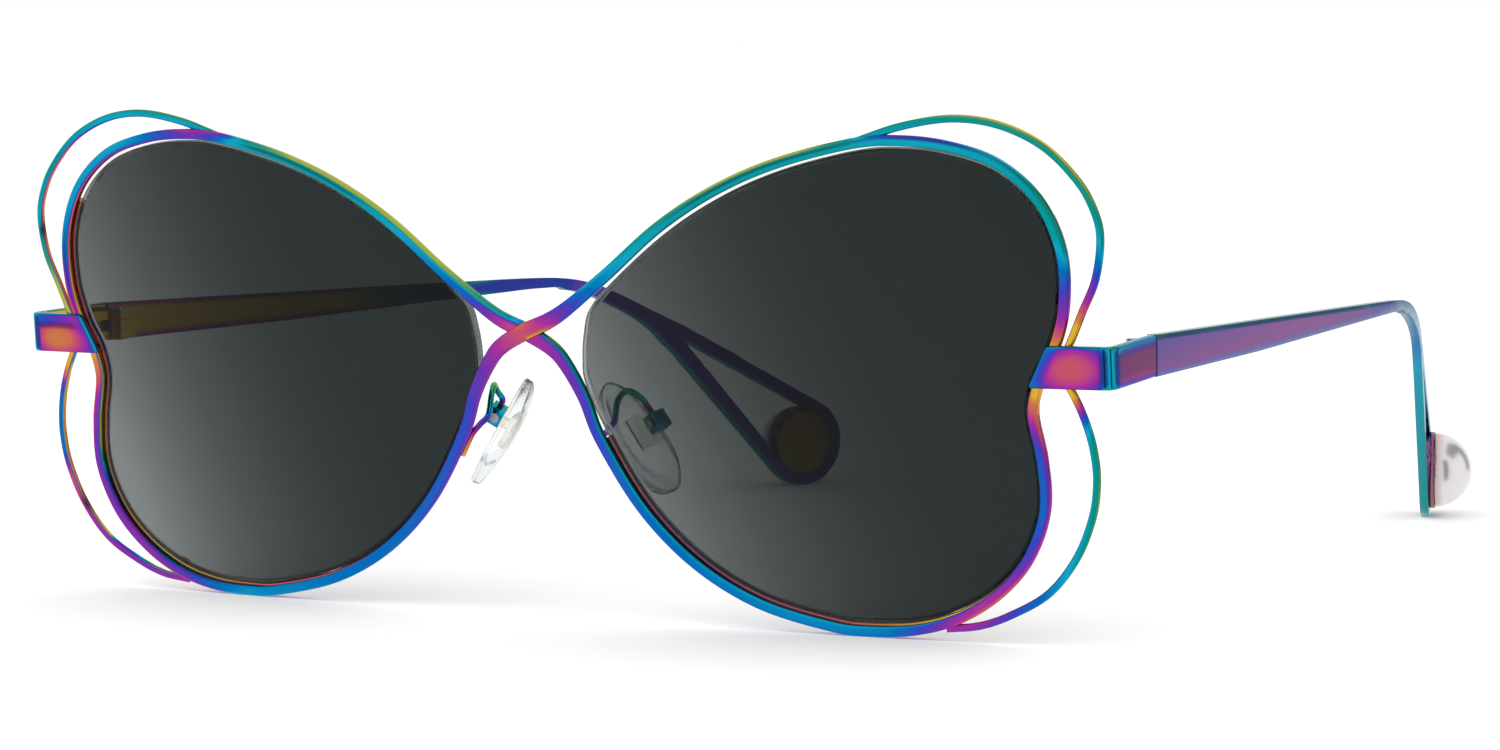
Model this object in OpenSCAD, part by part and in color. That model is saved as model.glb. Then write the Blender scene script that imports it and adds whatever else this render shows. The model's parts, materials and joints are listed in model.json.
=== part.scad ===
// Butterfly sunglasses: two flat wires cross at the bridge, each running from the
// lower half of one lens to the upper half of the other. Thin wing wires stand
// outside them. Grooved lenses sit in half eyewires and are tied by nylon cord.
// The wearer looks along -Y, so left is +X. The tips and rims stand on Z = 0.

/* [Front wires] */
// Width of the flat front wire away from the bridge
wire_width = 1.2; // [1:0.1:1.8]
// Depth of the front wire, front to back
wire_depth = 0.8; // [0.7:0.1:1.5]
// Extra width of the wire where the two wires cross
bridge_swell = 0.8; // [0.4:0.1:1.2]
// Distance from the crossing at which half of that extra width is left
swell_reach = 8; // [5:1:12]
// Height of the crossing above the front's own centre line
bridge_height = 4.15; // [3.5:0.05:5]
// How far the upper wire of the crossing rises in front of the lower one
bridge_rise = 0.5; // [0.3:0.1:0.8]
// Radius of the dome that lifts the wire over the crossing
rise_radius = 35; // [30:5:90]
// Sideways reach of the front wire's centre line from the middle of the face
rim_reach = 68.4; // [62:0.1:74]
// Height of the wire's centre line above the front's centre line
rim_top = 26.5; // [23:0.1:30]
// Depth of the wire's centre line below the front's centre line
rim_bottom = 28.8; // [25:0.1:32]
// Radius of the front's gentle bow, sideways and up
front_radius = 860; // [600:10:1500]
// Lean of the front against the temples, in degrees
front_lean = 4.15; // [2:0.05:8]

/* [Wing wires] */
// Width of a wing wire
wing_width = 0.65; // [0.5:0.05:0.9]
// Depth of a wing wire, front to back
wing_depth = 0.6; // [0.5:0.05:1]
// How far a wing wire's face stands behind the front wire's face
wing_back = 0.3; // [0.2:0.05:0.6]

/* [Lenses] */
// Lens thickness
lens_thick = 1.8; // [1.6:0.1:2.2]
// Gap between the front wire's inner edge and the lens edge, seen from the front
lens_gap = 0.3; // [0.2:0.05:0.5]
// Depth of the groove in the lens edge
groove_depth = 0.5; // [0.4:0.05:0.7]
// Width of the groove in the lens edge
groove_width = 0.6; // [0.5:0.05:0.7]
// Width of the eyewire, seen from the front
eye_width = 0.95; // [0.8:0.05:1.2]
// Depth of the eyewire, front to back
eye_depth = 1.2; // [1:0.05:1.5]
// How far the nylon cord stands out of the lens edge
cord_proud = 0.12; // [0.05:0.01:0.2]
// Clearance between the lens and what holds it
lens_clear = 0.03; // [0.02:0.01:0.08]

/* [End pieces and hinges] */
// Thickness of the end piece plate
plate_thick = 1.1; // [0.9:0.1:1.4]
// How far the end piece stands in front of the wires that it sits on
plate_proud = 0.6; // [0.4:0.05:0.8]
// How far the seam's outer face stands beyond the front wire's reach
end_reach = 5; // [4.5:0.1:7]
// Outer corner radius of the end piece
corner_radius = 1.4; // [1.2:0.1:3]
// Backward slope of the end piece's face towards that corner, in degrees
plate_turn = 2.7; // [0:0.1:6]
// Height of the end piece plate at the front
plate_height = 4.75; // [4.2:0.05:5.6]
// Distance from the front to the seam between end piece and temple
seam_back = 15.2; // [13:0.1:19]
// Clearance at that seam
seam_gap = 0.1; // [0.05:0.01:0.2]
// Radius of a hinge knuckle
knuckle_r = 1.25; // [1.1:0.05:1.4]
// Height of each outer knuckle
knuckle_h = 1.1; // [0.9:0.05:1.4]
// Height of the middle knuckle
middle_h = 1.2; // [1:0.05:1.6]
// How far the hinge's middle lies below the middle of the temple's bar
stack_drop = 0.35; // [0.2:0.05:0.5]
// Clearance above and below the middle knuckle
knuckle_gap = 0.08; // [0.05:0.01:0.12]
// Radius of the hinge screw's shank
screw_r = 0.6; // [0.5:0.05:0.7]
// Radial running clearance on the screws
screw_clear = 0.04; // [0.02:0.01:0.08]
// Radius of the hinge screw's head
head_r = 1; // [0.85:0.05:1.1]
// Height of the hinge screw's head
head_h = 0.4; // [0.3:0.05:0.5]
// Length of a hinge leaf along its plate
leaf_length = 4.2; // [3:0.1:6]
// Thickness of the hinge leaf's base plate
leaf_base = 0.7; // [0.5:0.05:0.9]
// Clearance between a knuckle and the temple's inner face
knuckle_space = 0.25; // [0.15:0.05:0.4]

/* [Temples] */
// Thickness of the temple strip
temple_thick = 1.2; // [1:0.1:1.5]
// Height of the temple at the seam
bar_height = 4.7; // [4:0.1:5.5]
// Height of the middle of the bar at the seam above the ground
bar_level = 31.75; // [30:0.05:34]
// Height of the temple where the ear bend starts
neck_height = 1.5; // [1.2:0.1:2]
// How far the bar's top edge falls between the seam and the ear bend
neck_drop = 1.55; // [1:0.05:1.8]
// How far the bar's top edge bows up between those two
bar_bow = 0.1; // [0:0.05:0.5]
// How far the bar's underside bows down between them
under_bow = 0.25; // [0:0.05:0.5]
// Length of the bar from the seam to the start of the ear bend
bar_length = 83.8; // [75:0.1:92]
// Distance from the start of the ear bend to the centre of the loop
ear_length = 48.6; // [44:0.1:53]
// Distance from the fork of the two strands to the centre of the loop
fork_length = 21; // [18:0.5:23]
// How far the fork lies below the middle of the bar
fork_drop = 9.2; // [8:0.1:10.5]
// Inward slant of the bar in plan, in degrees
bar_slant = 5.6; // [3:0.1:8]
// Inward slant of the tip in plan, in degrees
tip_slant = 20.7; // [16:0.1:24]
// Radius of the inward curve between bar and tip
camber_radius = 100; // [80:5:130]
// Outer radius of the loop
loop_r = 6.2; // [5.6:0.1:6.8]
// Width of the two strands of the loop
strand_width = 1.5; // [1.2:0.1:1.8]

/* [Pearls] */
// Radius of the pearl
pearl_r = 5; // [4.4:0.1:5.4]
// Height of the pearl above its tray
pearl_height = 4.9; // [4.2:0.1:5.2]
// Thickness of the tray's flange
flange_thick = 0.7; // [0.5:0.1:1]
// Radius of the peg that holds the pearl
peg_r = 0.5; // [0.4:0.05:0.7]
// Length of the peg
peg_length = 2.4; // [1.8:0.1:3]

/* [Nose pads] */
// Place of the pad's rocking axis: sideways, back and up from the front's centre
pad_axis = [11.35, 10.3, -7.4];
// Frontal slant of the pad, in degrees
pad_frontal = 34; // [25:1:40]
// Splay of the pad, in degrees
pad_splay = 20; // [14:1:30]
// Height of the pad
pad_height = 15; // [13:0.5:17]
// Width of the pad
pad_width = 7; // [6:0.2:8]
// Thickness of the pad
pad_thick = 2.2; // [1.7:0.1:2.6]
// How far the pad's middle lies ahead of the pad box
pad_ahead = 2.2; // [1.4:0.1:2.4]
// Outer size of the pad box: towards the nose, along the screw and upwards
box_size = [1.8, 2.1, 2.2];
// Wall of the pad box
box_wall = 0.5; // [0.4:0.05:0.55]
// Radius of the pad screw
pad_screw_r = 0.3; // [0.25:0.05:0.35]
// Diameter of the pad arm
arm_d = 0.9; // [0.7:0.05:1]

/* [Hidden] */

// Side of the face: the wearer's left is +X
left = 1;
right = -1;
// Points between neighbouring points of a smoothed line
steps = 3;
// Overrun that takes a cutting shape clear of what it cuts
over = 5;
// Segments of the large curves, and of small round parts
wide_fn = 400;
round_fn = 48;
// Small clearance between brazed pieces
seat = 0.02;

// Outline points are written for this reach, top and bottom, and follow the real ones
drawn_reach = 68.4;
drawn_top = 26.5;
drawn_bottom = 28.8;
function fit_x(x) = x * rim_reach / drawn_reach;
function fit_z(z) = z > 0 ? z * rim_top / drawn_top : z * rim_bottom / drawn_bottom;
function fitted(points) = [for (p = points) [fit_x(p[0]), fit_z(p[1])]];

// Half of the front in the front's own plane, as [sideways, up]
crossing = [[0, bridge_height]];
upper_half = fitted([[4.4, 6.1], [10.9, 10.7], [18.4, 16.5], [25.9, 20.8], [33.9, 23.9], [43.2, 26.1],
    [49, 26.5], [55, 25.9], [61, 24], [65.8, 20], [68.3, 14.4], [68.4, 8.2], [66.9, 3.2]]);
lower_half = fitted([[64.3, -3.6], [65.2, -8.9], [65.2, -14.5], [62.9, -19.9], [59, -24], [54.1, -26.9],
    [48.8, -28.4], [43.4, -28.8], [38.4, -28.5], [29.2, -26.3], [21.2, -22.1], [14.6, -16],
    [9.5, -8.2], [7.5, -3.3], [5.3, 0.4], [3.4, 2.35]]);
notch = fitted([[65.1, 0]]);
notch_height = 0.1;

// Lens edge beside the bridge, where it leaves the front wire
lens_nose = fitted([[7.6, -1.8], [7.35, 1.4], [7.75, 4.4], [8.6, 6.9]]);

upper_wing = fitted([[41.5, 25.7], [44.3, 26.5], [49.5, 28.05], [55.6, 28.9], [61.2, 28.2],
    [66.4, 25.85], [70.3, 22.15], [72.2, 18.8], [72.8, 15.7], [72.1, 11.4], [70.4, 7.7], [68.8, 4.2],
    [67.6, 2.3], [66.2, 1.1]]);
lower_wing = fitted([[65.5, -0.35], [67.6, 0.4], [69, -1.2], [70.4, -4.4], [71.2, -7.6], [71.4, -11],
    [70.7, -14.9], [68.6, -19.5], [65.1, -23.6], [60.5, -26.2], [56.6, -27.6], [52.6, -28.1]]);

seam_x = rim_reach + end_reach;
function sag(x, z = 0) = front_radius - sqrt(front_radius * front_radius - x * x - z * z);

// Smooth lines
function spline(a, b, c, d, t) =
    0.5 * (2 * b + (c - a) * t + (2 * a - 5 * b + 4 * c - d) * t * t + (3 * b - a - 3 * c + d) * t * t * t);
function ahead(p) = 2 * p[0] - p[1];
function past(p) = 2 * p[len(p) - 1] - p[len(p) - 2];
function smooth(p, n = steps) = let (q = concat([ahead(p)], p, [past(p)]))
    concat([for (i = [1:len(p) - 1], k = [0:n - 1]) spline(q[i - 1], q[i], q[i + 1], q[i + 2], k / n)],
        [p[len(p) - 1]]);
function smooth_loop(p, n = steps) = let (m = len(p))
    [for (i = [0:m - 1], k = [0:n - 1])
        spline(p[(i + m - 1) % m], p[i], p[(i + 1) % m], p[(i + 2) % m], k / n)];
function backwards(p) = [for (i = [len(p) - 1:-1:0]) p[i]];
function mirrored(p) = [for (q = p) [-q[0], q[1]]];
function turned(v) = [-v[1], v[0]] / norm(v);
function side_at(p, i) = turned(p[min(i + 1, len(p) - 1)] - p[max(i - 1, 0)]);
function loop_side_at(p, i) = turned(p[(i + 1) % len(p)] - p[(i + len(p) - 1) % len(p)]);
function beside(p, d) = [for (i = [0:len(p) - 1]) p[i] + d * side_at(p, i)];
function beside_loop(p, d) = [for (i = [0:len(p) - 1]) p[i] + d * loop_side_at(p, i)];
function band(p, a, b) = concat(beside(p, a), backwards(beside(p, b)));
function arc(c, r, a, b, n) = [for (i = [0:n]) c + r * [cos(a + (b - a) * i / n), sin(a + (b - a) * i / n)]];

// Front wires. Each runs from the notch below one end piece, over the crossing, to the other notch
function wire_half_width(p) = let (d = norm(p - crossing[0]) / swell_reach)
    wire_width / 2 + bridge_swell / 2 / (1 + d * d);
under_line = smooth(concat(mirrored(backwards(concat(crossing, upper_half, notch))),
    backwards(lower_half), notch), steps);
wire_run = concat(mirrored(concat(notch, lower_half)), crossing, upper_half, notch);
over_line = smooth(wire_run);
function wire_edge(p, s) = [for (i = [0:len(p) - 1]) p[i] + s * wire_half_width(p[i]) * side_at(p, i)];
function wire_outline(p) = concat(wire_edge(p, 1), backwards(wire_edge(p, -1)));

// The leaning front's own centre stands at front_level, so that the rims touch Z = 0
front_level = -min([for (q = wire_outline(over_line))
    sag(q[0], q[1]) * sin(front_lean) + q[1] * cos(front_lean)]);
reach_front = min([for (q = wire_outline(over_line))
    sag(q[0], q[1]) * cos(front_lean) - q[1] * sin(front_lean)]);
tip_y = seam_back + bar_length + ear_length;
reach_back = tip_y + loop_r;
middle_y = (reach_back + reach_front) / 2;

// Lens outline: the front wire's inner edge less the gap, and a free curve beside the bridge
function inset_at(p, i) = p[i] - (wire_half_width(p[i]) + lens_gap) * side_at(p, i);
upper_guide = concat(crossing, upper_half, notch);
lower_guide = concat([upper_half[len(upper_half) - 1]], notch, lower_half);
lens_points = concat([for (i = [2:len(upper_guide) - 2]) inset_at(upper_guide, i)],
    [for (i = [1:len(lower_guide) - 4]) inset_at(lower_guide, i)], lens_nose);
lens_line = smooth_loop(lens_points);
// The eyewire starts at this point of the outline, counted from the bridge, and ends at that one
eye_first = 9;
eye_last = len(lens_points) - len(lens_nose) - 1;
eye_early = 2;
eye_start = eye_first * steps - eye_early;
eye_line = [for (i = [eye_start:eye_last * steps]) lens_line[i]];
cord_line = concat([for (i = [eye_last * steps:len(lens_line) - 1]) lens_line[i]],
    [for (i = [0:eye_start]) lens_line[i]]);
eye_front = wire_depth + 2 * seat;
groove_y = eye_front + eye_depth / 2;

// End piece in plan: its flat face, and the centre of its corner beside the flat side plate
face_start = fit_x(66.6);
face_y = sag(face_start) - plate_proud;
corner_back = face_y - tan(plate_turn) * face_start + corner_radius / cos(plate_turn);
corner_x = (seam_x + tan(bar_slant) * (seam_back - corner_back) - corner_radius / cos(bar_slant))
    / (1 + tan(bar_slant) * tan(plate_turn));
corner = [corner_x, corner_back + tan(plate_turn) * corner_x];
half_width = corner_x + corner_radius;

// Hinge axis, in plan, on the wearer's left
hinge_x = seam_x - temple_thick - knuckle_space - knuckle_r;
hinge_y = seam_back;
stack_h = 2 * knuckle_h + middle_h + 2 * knuckle_gap;
stack_low = bar_level - stack_drop - stack_h / 2;

module whole() {
    translate([0, -middle_y, 0]) children();
}

module on_front() {
    translate([0, 0, front_level]) rotate([front_lean, 0, 0]) children();
}

module on_side(side) {
    mirror([side == left ? 0 : 1, 0, 0]) children();
}

// A front view outline taken from front to back
module front_cut(points) {
    translate([0, 4 * over, 0]) rotate([90, 0, 0]) linear_extrude(6 * over) polygon(points);
}

// The layer of the bowed front between two depths behind its face
module layer(near, far) {
    translate([0, front_radius, 0]) difference() {
        sphere(r = front_radius - near, $fn = wide_fn);
        sphere(r = front_radius - far, $fn = wide_fn);
    }
}

module cut_layer(points, near, far) {
    intersection() {
        front_cut(points);
        layer(near, far);
    }
}

// Space on one side of the notch plane behind an end piece
module notch_block(side, up) {
    translate([side > 0 ? fit_x(60) : -fit_x(80), -over, up > 0 ? notch_height : notch_height - 4 * over])
        cube([fit_x(20), 4 * over, 4 * over]);
}

// Space in the wires for the back of an end piece
module end_seat(side) {
    inner = [for (q = fitted(plate_edge)) q - [seat, 0]];
    outer = half_width + over;
    on_side(side) cut_layer(concat([inner[0] + [0, seat]], inner,
        [inner[3] - [0, seat], [outer, plate_low - seat], [outer, plate_top + seat]]),
        -over, seat_depth + seat);
}

lap_depth = wire_depth / 4;

module rim_wire_over() {
    color("mediumvioletred") whole() on_front() difference() {
        intersection() {
            front_cut(wire_outline(over_line));
            union() {
                layer(0, wire_depth);
                intersection() {
                    translate([0, rise_radius - bridge_rise, bridge_height])
                        sphere(r = rise_radius, $fn = 200);
                    layer(-over, lap_depth);
                }
            }
        }
        cut_layer(wire_outline(under_line), lap_depth, wire_depth + over);
        notch_block(left, -1);
        notch_block(right, 1);
        end_seat(left);
        end_seat(right);
    }
}

module rim_wire_under() {
    color("royalblue") whole() on_front() difference() {
        cut_layer(wire_outline(under_line), 0, wire_depth);
        cut_layer(wire_outline(over_line), -over, lap_depth);
        notch_block(left, 1);
        notch_block(right, -1);
        end_seat(left);
        end_seat(right);
    }
}

module wing_wire_upper(side) {
    color("mediumturquoise") whole() on_front() on_side(side) difference() {
        cut_layer(band(smooth(upper_wing), wing_width / 2, -wing_width / 2),
            wing_back, wing_back + wing_depth);
        front_cut(wire_outline(side == left ? over_line : mirrored(under_line)));
        end_seat(left);
    }
}

module wing_wire_lower(side) {
    color("dodgerblue") whole() on_front() on_side(side) difference() {
        cut_layer(band(smooth(lower_wing), wing_width / 2, -wing_width / 2),
            wing_back, wing_back + wing_depth);
        front_cut(wire_outline(side == left ? under_line : mirrored(over_line)));
        end_seat(left);
    }
}

module eyewire(side) {
    color("darkslateblue") whole() on_front() on_side(side) union() {
        cut_layer(band(eye_line, lens_clear, eye_width), eye_front, eye_front + eye_depth);
        cut_layer(band(eye_line, lens_clear - groove_depth, lens_clear + eye_width / 2),
            groove_y - groove_width / 2 + lens_clear, groove_y + groove_width / 2 - lens_clear);
    }
}

module lens(side) {
    color([0.25, 0.27, 0.27, 0.7]) whole() on_front() on_side(side) difference() {
        cut_layer(lens_line, groove_y - lens_thick / 2, groove_y + lens_thick / 2);
        difference() {
            cut_layer(beside_loop(lens_line, 1), groove_y - groove_width / 2, groove_y + groove_width / 2);
            front_cut(beside_loop(lens_line, -groove_depth));
        }
    }
}

module nylon_cord(side) {
    color([0.9, 0.93, 0.93, 0.6]) whole() on_front() on_side(side)
        cut_layer(band(cord_line, cord_proud, lens_clear - groove_depth),
            groove_y - groove_width / 2 + lens_clear, groove_y + groove_width / 2 - lens_clear);
}

// End piece: a plate on the front that turns the corner and runs back to the seam
plate_top = 4.15;
plate_low = plate_top - plate_height;
plate_edge = [[66.6, plate_top], [65.8, 2.9], [64.9, 1], [64.1, plate_low]];
seat_depth = plate_thick - plate_proud;

function front_of(y, z) = [y * cos(front_lean) + (z - front_level) * sin(front_lean),
    (z - front_level) * cos(front_lean) - y * sin(front_lean)];

module end_piece(side) {
    first = fit_x(60);
    face = [for (i = [0:6]) let (x = first + (face_start - first) * i / 6) [x, sag(x) - plate_proud]];
    back = [for (q = backwards(face)) q + [0, plate_thick]];
    side_end = [seam_x, seam_back] + over * [-tan(bar_slant), 1];
    plan = concat(face, arc(corner, corner_radius, plate_turn - 90, bar_slant, 8),
        [side_end, side_end - plate_thick * [cos(bar_slant), sin(bar_slant)]],
        arc(corner, corner_radius - plate_thick, bar_slant, plate_turn - 90, 8), back);
    seam_top = front_of(seam_back, bar_level + bar_height / 2);
    seam_low = front_of(seam_back, bar_level - bar_height / 2);
    profile = [[-over, plate_top], [corner[1], plate_top], seam_top, seam_top + [over, 0],
        seam_low + [over, 0], seam_low, [corner[1], plate_low], [-over, plate_low]];
    color("orchid") whole() on_side(side) difference() {
        on_front() intersection() {
            translate([0, 0, -2 * over]) linear_extrude(4 * over) polygon(plan);
            front_cut(concat(fitted(plate_edge),
                [[half_width + over, plate_low], [half_width + over, plate_top]]));
            translate([fit_x(55), 0, 0]) rotate([90, 0, 90]) linear_extrude(fit_x(30)) polygon(profile);
        }
        translate([0, seam_back - seam_gap / 2, 0]) cube([2 * half_width, 4 * over, 3 * bar_level]);
    }
}

module hinge_front(side) {
    face = (seam_x - hinge_x) * cos(bar_slant) - plate_thick - 2 * seat;
    leaf_end = seam_gap / 2 + face * sin(bar_slant);
    color("steelblue") whole() on_side(side)
        translate([hinge_x, hinge_y, stack_low]) rotate([0, 0, bar_slant]) difference() {
            union() {
                for (low = [0, stack_h - knuckle_h]) {
                    translate([0, 0, low]) cylinder(h = knuckle_h, r = knuckle_r, $fn = round_fn);
                    translate([0, -leaf_length, low]) cube([face, leaf_length - leaf_end, knuckle_h]);
                }
                translate([face - leaf_base, -leaf_length, 0])
                    cube([leaf_base, leaf_length - knuckle_r - seam_gap, stack_h]);
            }
            translate([0, 0, -over]) cylinder(h = 4 * over, r = screw_r + screw_clear, $fn = round_fn);
        }
}

module hinge_screw(side) {
    top = stack_low + stack_h;
    color("silver") whole() on_side(side) difference() {
        union() {
            translate([hinge_x, hinge_y, stack_low])
                cylinder(h = stack_h + head_h / 2, r = screw_r, $fn = round_fn);
            translate([hinge_x, hinge_y, top + seat]) cylinder(h = head_h, r = head_r, $fn = round_fn);
        }
        translate([hinge_x - over, hinge_y - 0.15, top + head_h / 2]) cube([2 * over, 0.3, over]);
    }
}

// Temples, seen from the side as [back, up] and from above as [sideways, back]
seam_y = seam_back + seam_gap / 2;
bend_y = seam_back + bar_length;
bar_top = bar_level + bar_height / 2;
bar_low = bar_level - bar_height / 2;
neck_top = bar_top - neck_drop;
neck_low = neck_top - neck_height;
loop_centre = [tip_y, loop_r];
hole_r = loop_r - strand_width;
fork = [tip_y - fork_length, bar_level - fork_drop];

function out_of(p, c, r, s) = let (d = norm(c - p), a = atan2(c[1] - p[1], c[0] - p[0]) + s * asin(r / d))
    a + s * 90;

// A point of the bar's edge at a share of the bar's length, and one of the ear bend
function bar_point(share, from, to, bow) =
    [seam_y + share * (bend_y - seam_y), from + share * (to - from) + bow];
function ear_point(share, fall) =
    [bend_y + share * (fork[0] - bend_y), neck_top - fall * (neck_top - fork[1])];

function side_outline() = let (
        top = smooth([[seam_y, bar_top], bar_point(0.4, bar_top, neck_top, bar_bow),
            bar_point(0.77, bar_top, neck_top, 0.8 * bar_bow), [bend_y, neck_top], ear_point(0.254, 0.039),
            ear_point(0.442, 0.137), ear_point(0.627, 0.319), ear_point(0.812, 0.559), ear_point(1, 0.804)]),
        low = smooth([ear_point(0.967, 1.196), ear_point(0.88, 0.98), ear_point(0.754, 0.701),
            ear_point(0.572, 0.451), ear_point(0.399, 0.279), ear_point(0.254, 0.05) - [0, neck_height],
            [bend_y, neck_low], bar_point(0.4, bar_low, neck_low, -under_bow), [seam_y, bar_low]]))
    concat(top, arc(loop_centre, loop_r, out_of(top[len(top) - 1], loop_centre, loop_r, 1),
        out_of(low[0], loop_centre, loop_r, -1), 20), low);

function hole_outline() =
    concat([fork], arc(loop_centre, hole_r, out_of(fork, loop_centre, hole_r, 1),
        out_of(fork, loop_centre, hole_r, -1), 20));

// The strip in plan between two distances inside its outer face
function strip_side(inner) = let (
        p = [seam_x, seam_back],
        start = p + [-tan(bar_slant) * (bar_length - 3), bar_length - 3],
        c = start + camber_radius * [-cos(bar_slant), -sin(bar_slant)],
        finish = c + camber_radius * [cos(tip_slant), sin(tip_slant)],
        far = tip_y + 3 * loop_r - finish[1])
    [for (q = concat([[p[0] + tan(bar_slant) * over, p[1] - over, bar_slant]],
        [for (i = [0:12]) let (a = bar_slant + (tip_slant - bar_slant) * i / 12)
            [c[0] + camber_radius * cos(a), c[1] + camber_radius * sin(a), a]],
        [[finish[0] - tan(tip_slant) * far, finish[1] + far, tip_slant]]))
        [q[0] - inner * cos(q[2]), q[1] - inner * sin(q[2])]];

function strip_plan(near, far) = concat(strip_side(near), backwards(strip_side(far)));

module side_cut(points) {
    rotate([90, 0, 90]) linear_extrude(2 * half_width) polygon(points);
}

module strip(near, far) {
    translate([0, 0, -over]) linear_extrude(2 * bar_level) polygon(strip_plan(near, far));
}

module temple(side) {
    color("mediumorchid") whole() on_side(side) difference() {
        intersection() {
            side_cut(side_outline());
            strip(0, temple_thick);
        }
        side_cut(hole_outline());
        translate([0, 0, 0]) cube([2 * half_width, seam_y, 2 * bar_level]);
    }
}

module hinge_temple(side) {
    low = knuckle_h + knuckle_gap;
    face = (seam_x - hinge_x) * cos(bar_slant) - temple_thick - seat;
    color("slateblue") whole() on_side(side)
        translate([hinge_x, hinge_y, stack_low]) rotate([0, 0, bar_slant]) difference() {
            union() {
                translate([0, 0, low]) cylinder(h = middle_h, r = knuckle_r, $fn = round_fn);
                translate([0, 0, low]) cube([face, leaf_length, middle_h]);
                translate([face - leaf_base, knuckle_r + seam_gap, 0])
                    cube([leaf_base, leaf_length - knuckle_r - seam_gap, stack_h]);
            }
            translate([0, 0, -over]) cylinder(h = 4 * over, r = screw_r + screw_clear, $fn = round_fn);
        }
}

// Centre of the loop in plan, on the strip's outer face, and the way that face looks
function strip_at(y) = let (q = strip_side(0), n = len(q), a = q[n - 2], b = q[n - 1])
    a + (b - a) * (y - a[1]) / (b[1] - a[1]);

module on_tip(side) {
    p = strip_at(tip_y);
    on_side(side) translate([p[0], p[1], loop_r]) rotate([0, 0, tip_slant]) rotate([0, 90, 0]) children();
}

module pearl_tray(side) {
    disc_r = hole_r - lens_clear;
    color("olive") whole() {
        on_side(side) intersection() {
            side_cut([for (i = [0:47]) loop_centre + disc_r * [cos(i * 7.5), sin(i * 7.5)]]);
            strip(-flange_thick / 2, temple_thick - 0.2);
        }
        on_tip(side) {
            translate([0, 0, seat]) cylinder(h = flange_thick, r = pearl_r + 0.2, $fn = 64);
            translate([0, 0, seat]) cylinder(h = flange_thick + peg_length, r = peg_r, $fn = 24);
        }
    }
}

module pearl(side) {
    color("ghostwhite") whole() on_tip(side) translate([0, 0, seat + flange_thick + seat])
        difference() {
            intersection() {
                translate([0, 0, pearl_height - pearl_r]) sphere(r = pearl_r, $fn = 96);
                cylinder(h = 2 * pearl_r, r = 2 * pearl_r, $fn = round_fn);
            }
            translate([0, 0, -over]) cylinder(h = over + peg_length + 0.1, r = peg_r + lens_clear, $fn = 24);
        }
}

// Nose pads. Their own frame has -X towards the nose, Y along the screw and Z along the pad
module on_pad(side) {
    on_front() on_side(side) translate(pad_axis) rotate([0, -pad_frontal, 0]) rotate([0, 0, -pad_splay])
        children();
}

slot_half = box_size[1] / 2 - box_wall;
tab_half = slot_half - 0.1;
tab_r = box_size[0] / 2 - box_wall / 2 - 0.07;
pad_back = box_size[0] / 2 + 0.3;
plate_near = pad_back + 0.7;
plate_far = plate_near + 0.5;
pad_drop = 0.5;

module pad_box(side) {
    color("teal") whole() on_pad(side) difference() {
        translate([-box_size[0] / 2, -box_size[1] / 2, -box_size[2] / 2]) cube(box_size);
        translate([-box_size[0] / 2 - over, -slot_half, -box_size[2] / 2 + box_wall / 2])
            cube([box_size[0] + over - box_wall / 2, 2 * slot_half, box_size[2] - box_wall]);
        rotate([90, 0, 0]) translate([0, 0, -over])
            cylinder(h = 2 * over, r = pad_screw_r + seat, $fn = round_fn);
    }
}

module pad_screw(side) {
    head_h = 0.35;
    color("silver") whole() on_pad(side) rotate([90, 0, 0]) union() {
        translate([0, 0, -box_size[1] / 2]) cylinder(h = box_size[1], r = pad_screw_r, $fn = round_fn);
        translate([0, 0, box_size[1] / 2]) cylinder(h = head_h, r = 2 * pad_screw_r, $fn = round_fn);
    }
}

// The insert's plate and neck, larger by a clearance where they are cut out of the pad
module insert_shape(clear) {
    neck_half = 0.5 + clear;
    translate([-plate_far - clear, -2.6 - clear, -2 - clear])
        cube([plate_far - plate_near + 2 * clear, 3.4 + 2 * clear, 4 + 2 * clear]);
    translate([-plate_near - 0.1, -tab_half - clear, -neck_half])
        cube([plate_near + 0.1, 2 * (tab_half + clear), 2 * neck_half]);
}

module pad_insert(side) {
    color("whitesmoke") whole() on_pad(side) difference() {
        union() {
            insert_shape(0);
            rotate([90, 0, 0]) translate([0, 0, -tab_half])
                cylinder(h = 2 * tab_half, r = tab_r, $fn = round_fn);
        }
        rotate([90, 0, 0]) translate([0, 0, -over])
            cylinder(h = 2 * over, r = pad_screw_r + screw_clear, $fn = round_fn);
    }
}

// Teardrop outline of the pad, narrow at the top, as [along the screw, up]
function pad_outline() = let (h = pad_height / 2, w = pad_width / 2)
    smooth_loop([[0, h], [0.62 * w, 0.72 * h], [0.95 * w, 0.05 * h], [0.9 * w, -0.5 * h],
        [0.5 * w, -0.9 * h], [0, -h], [-0.5 * w, -0.9 * h], [-0.9 * w, -0.5 * h],
        [-0.95 * w, 0.05 * h], [-0.62 * w, 0.72 * h]], 4);

module nose_pad(side) {
    crown = 22;
    color([0.93, 0.94, 0.94, 0.5]) whole() on_pad(side) difference() {
        intersection() {
            translate([-pad_back - pad_thick, -pad_ahead, -pad_drop]) rotate([90, 0, 90])
                linear_extrude(pad_thick) polygon(pad_outline());
            translate([-pad_back - pad_thick + crown, -pad_ahead, -pad_drop]) sphere(r = crown, $fn = 160);
        }
        insert_shape(seat);
    }
}

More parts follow.
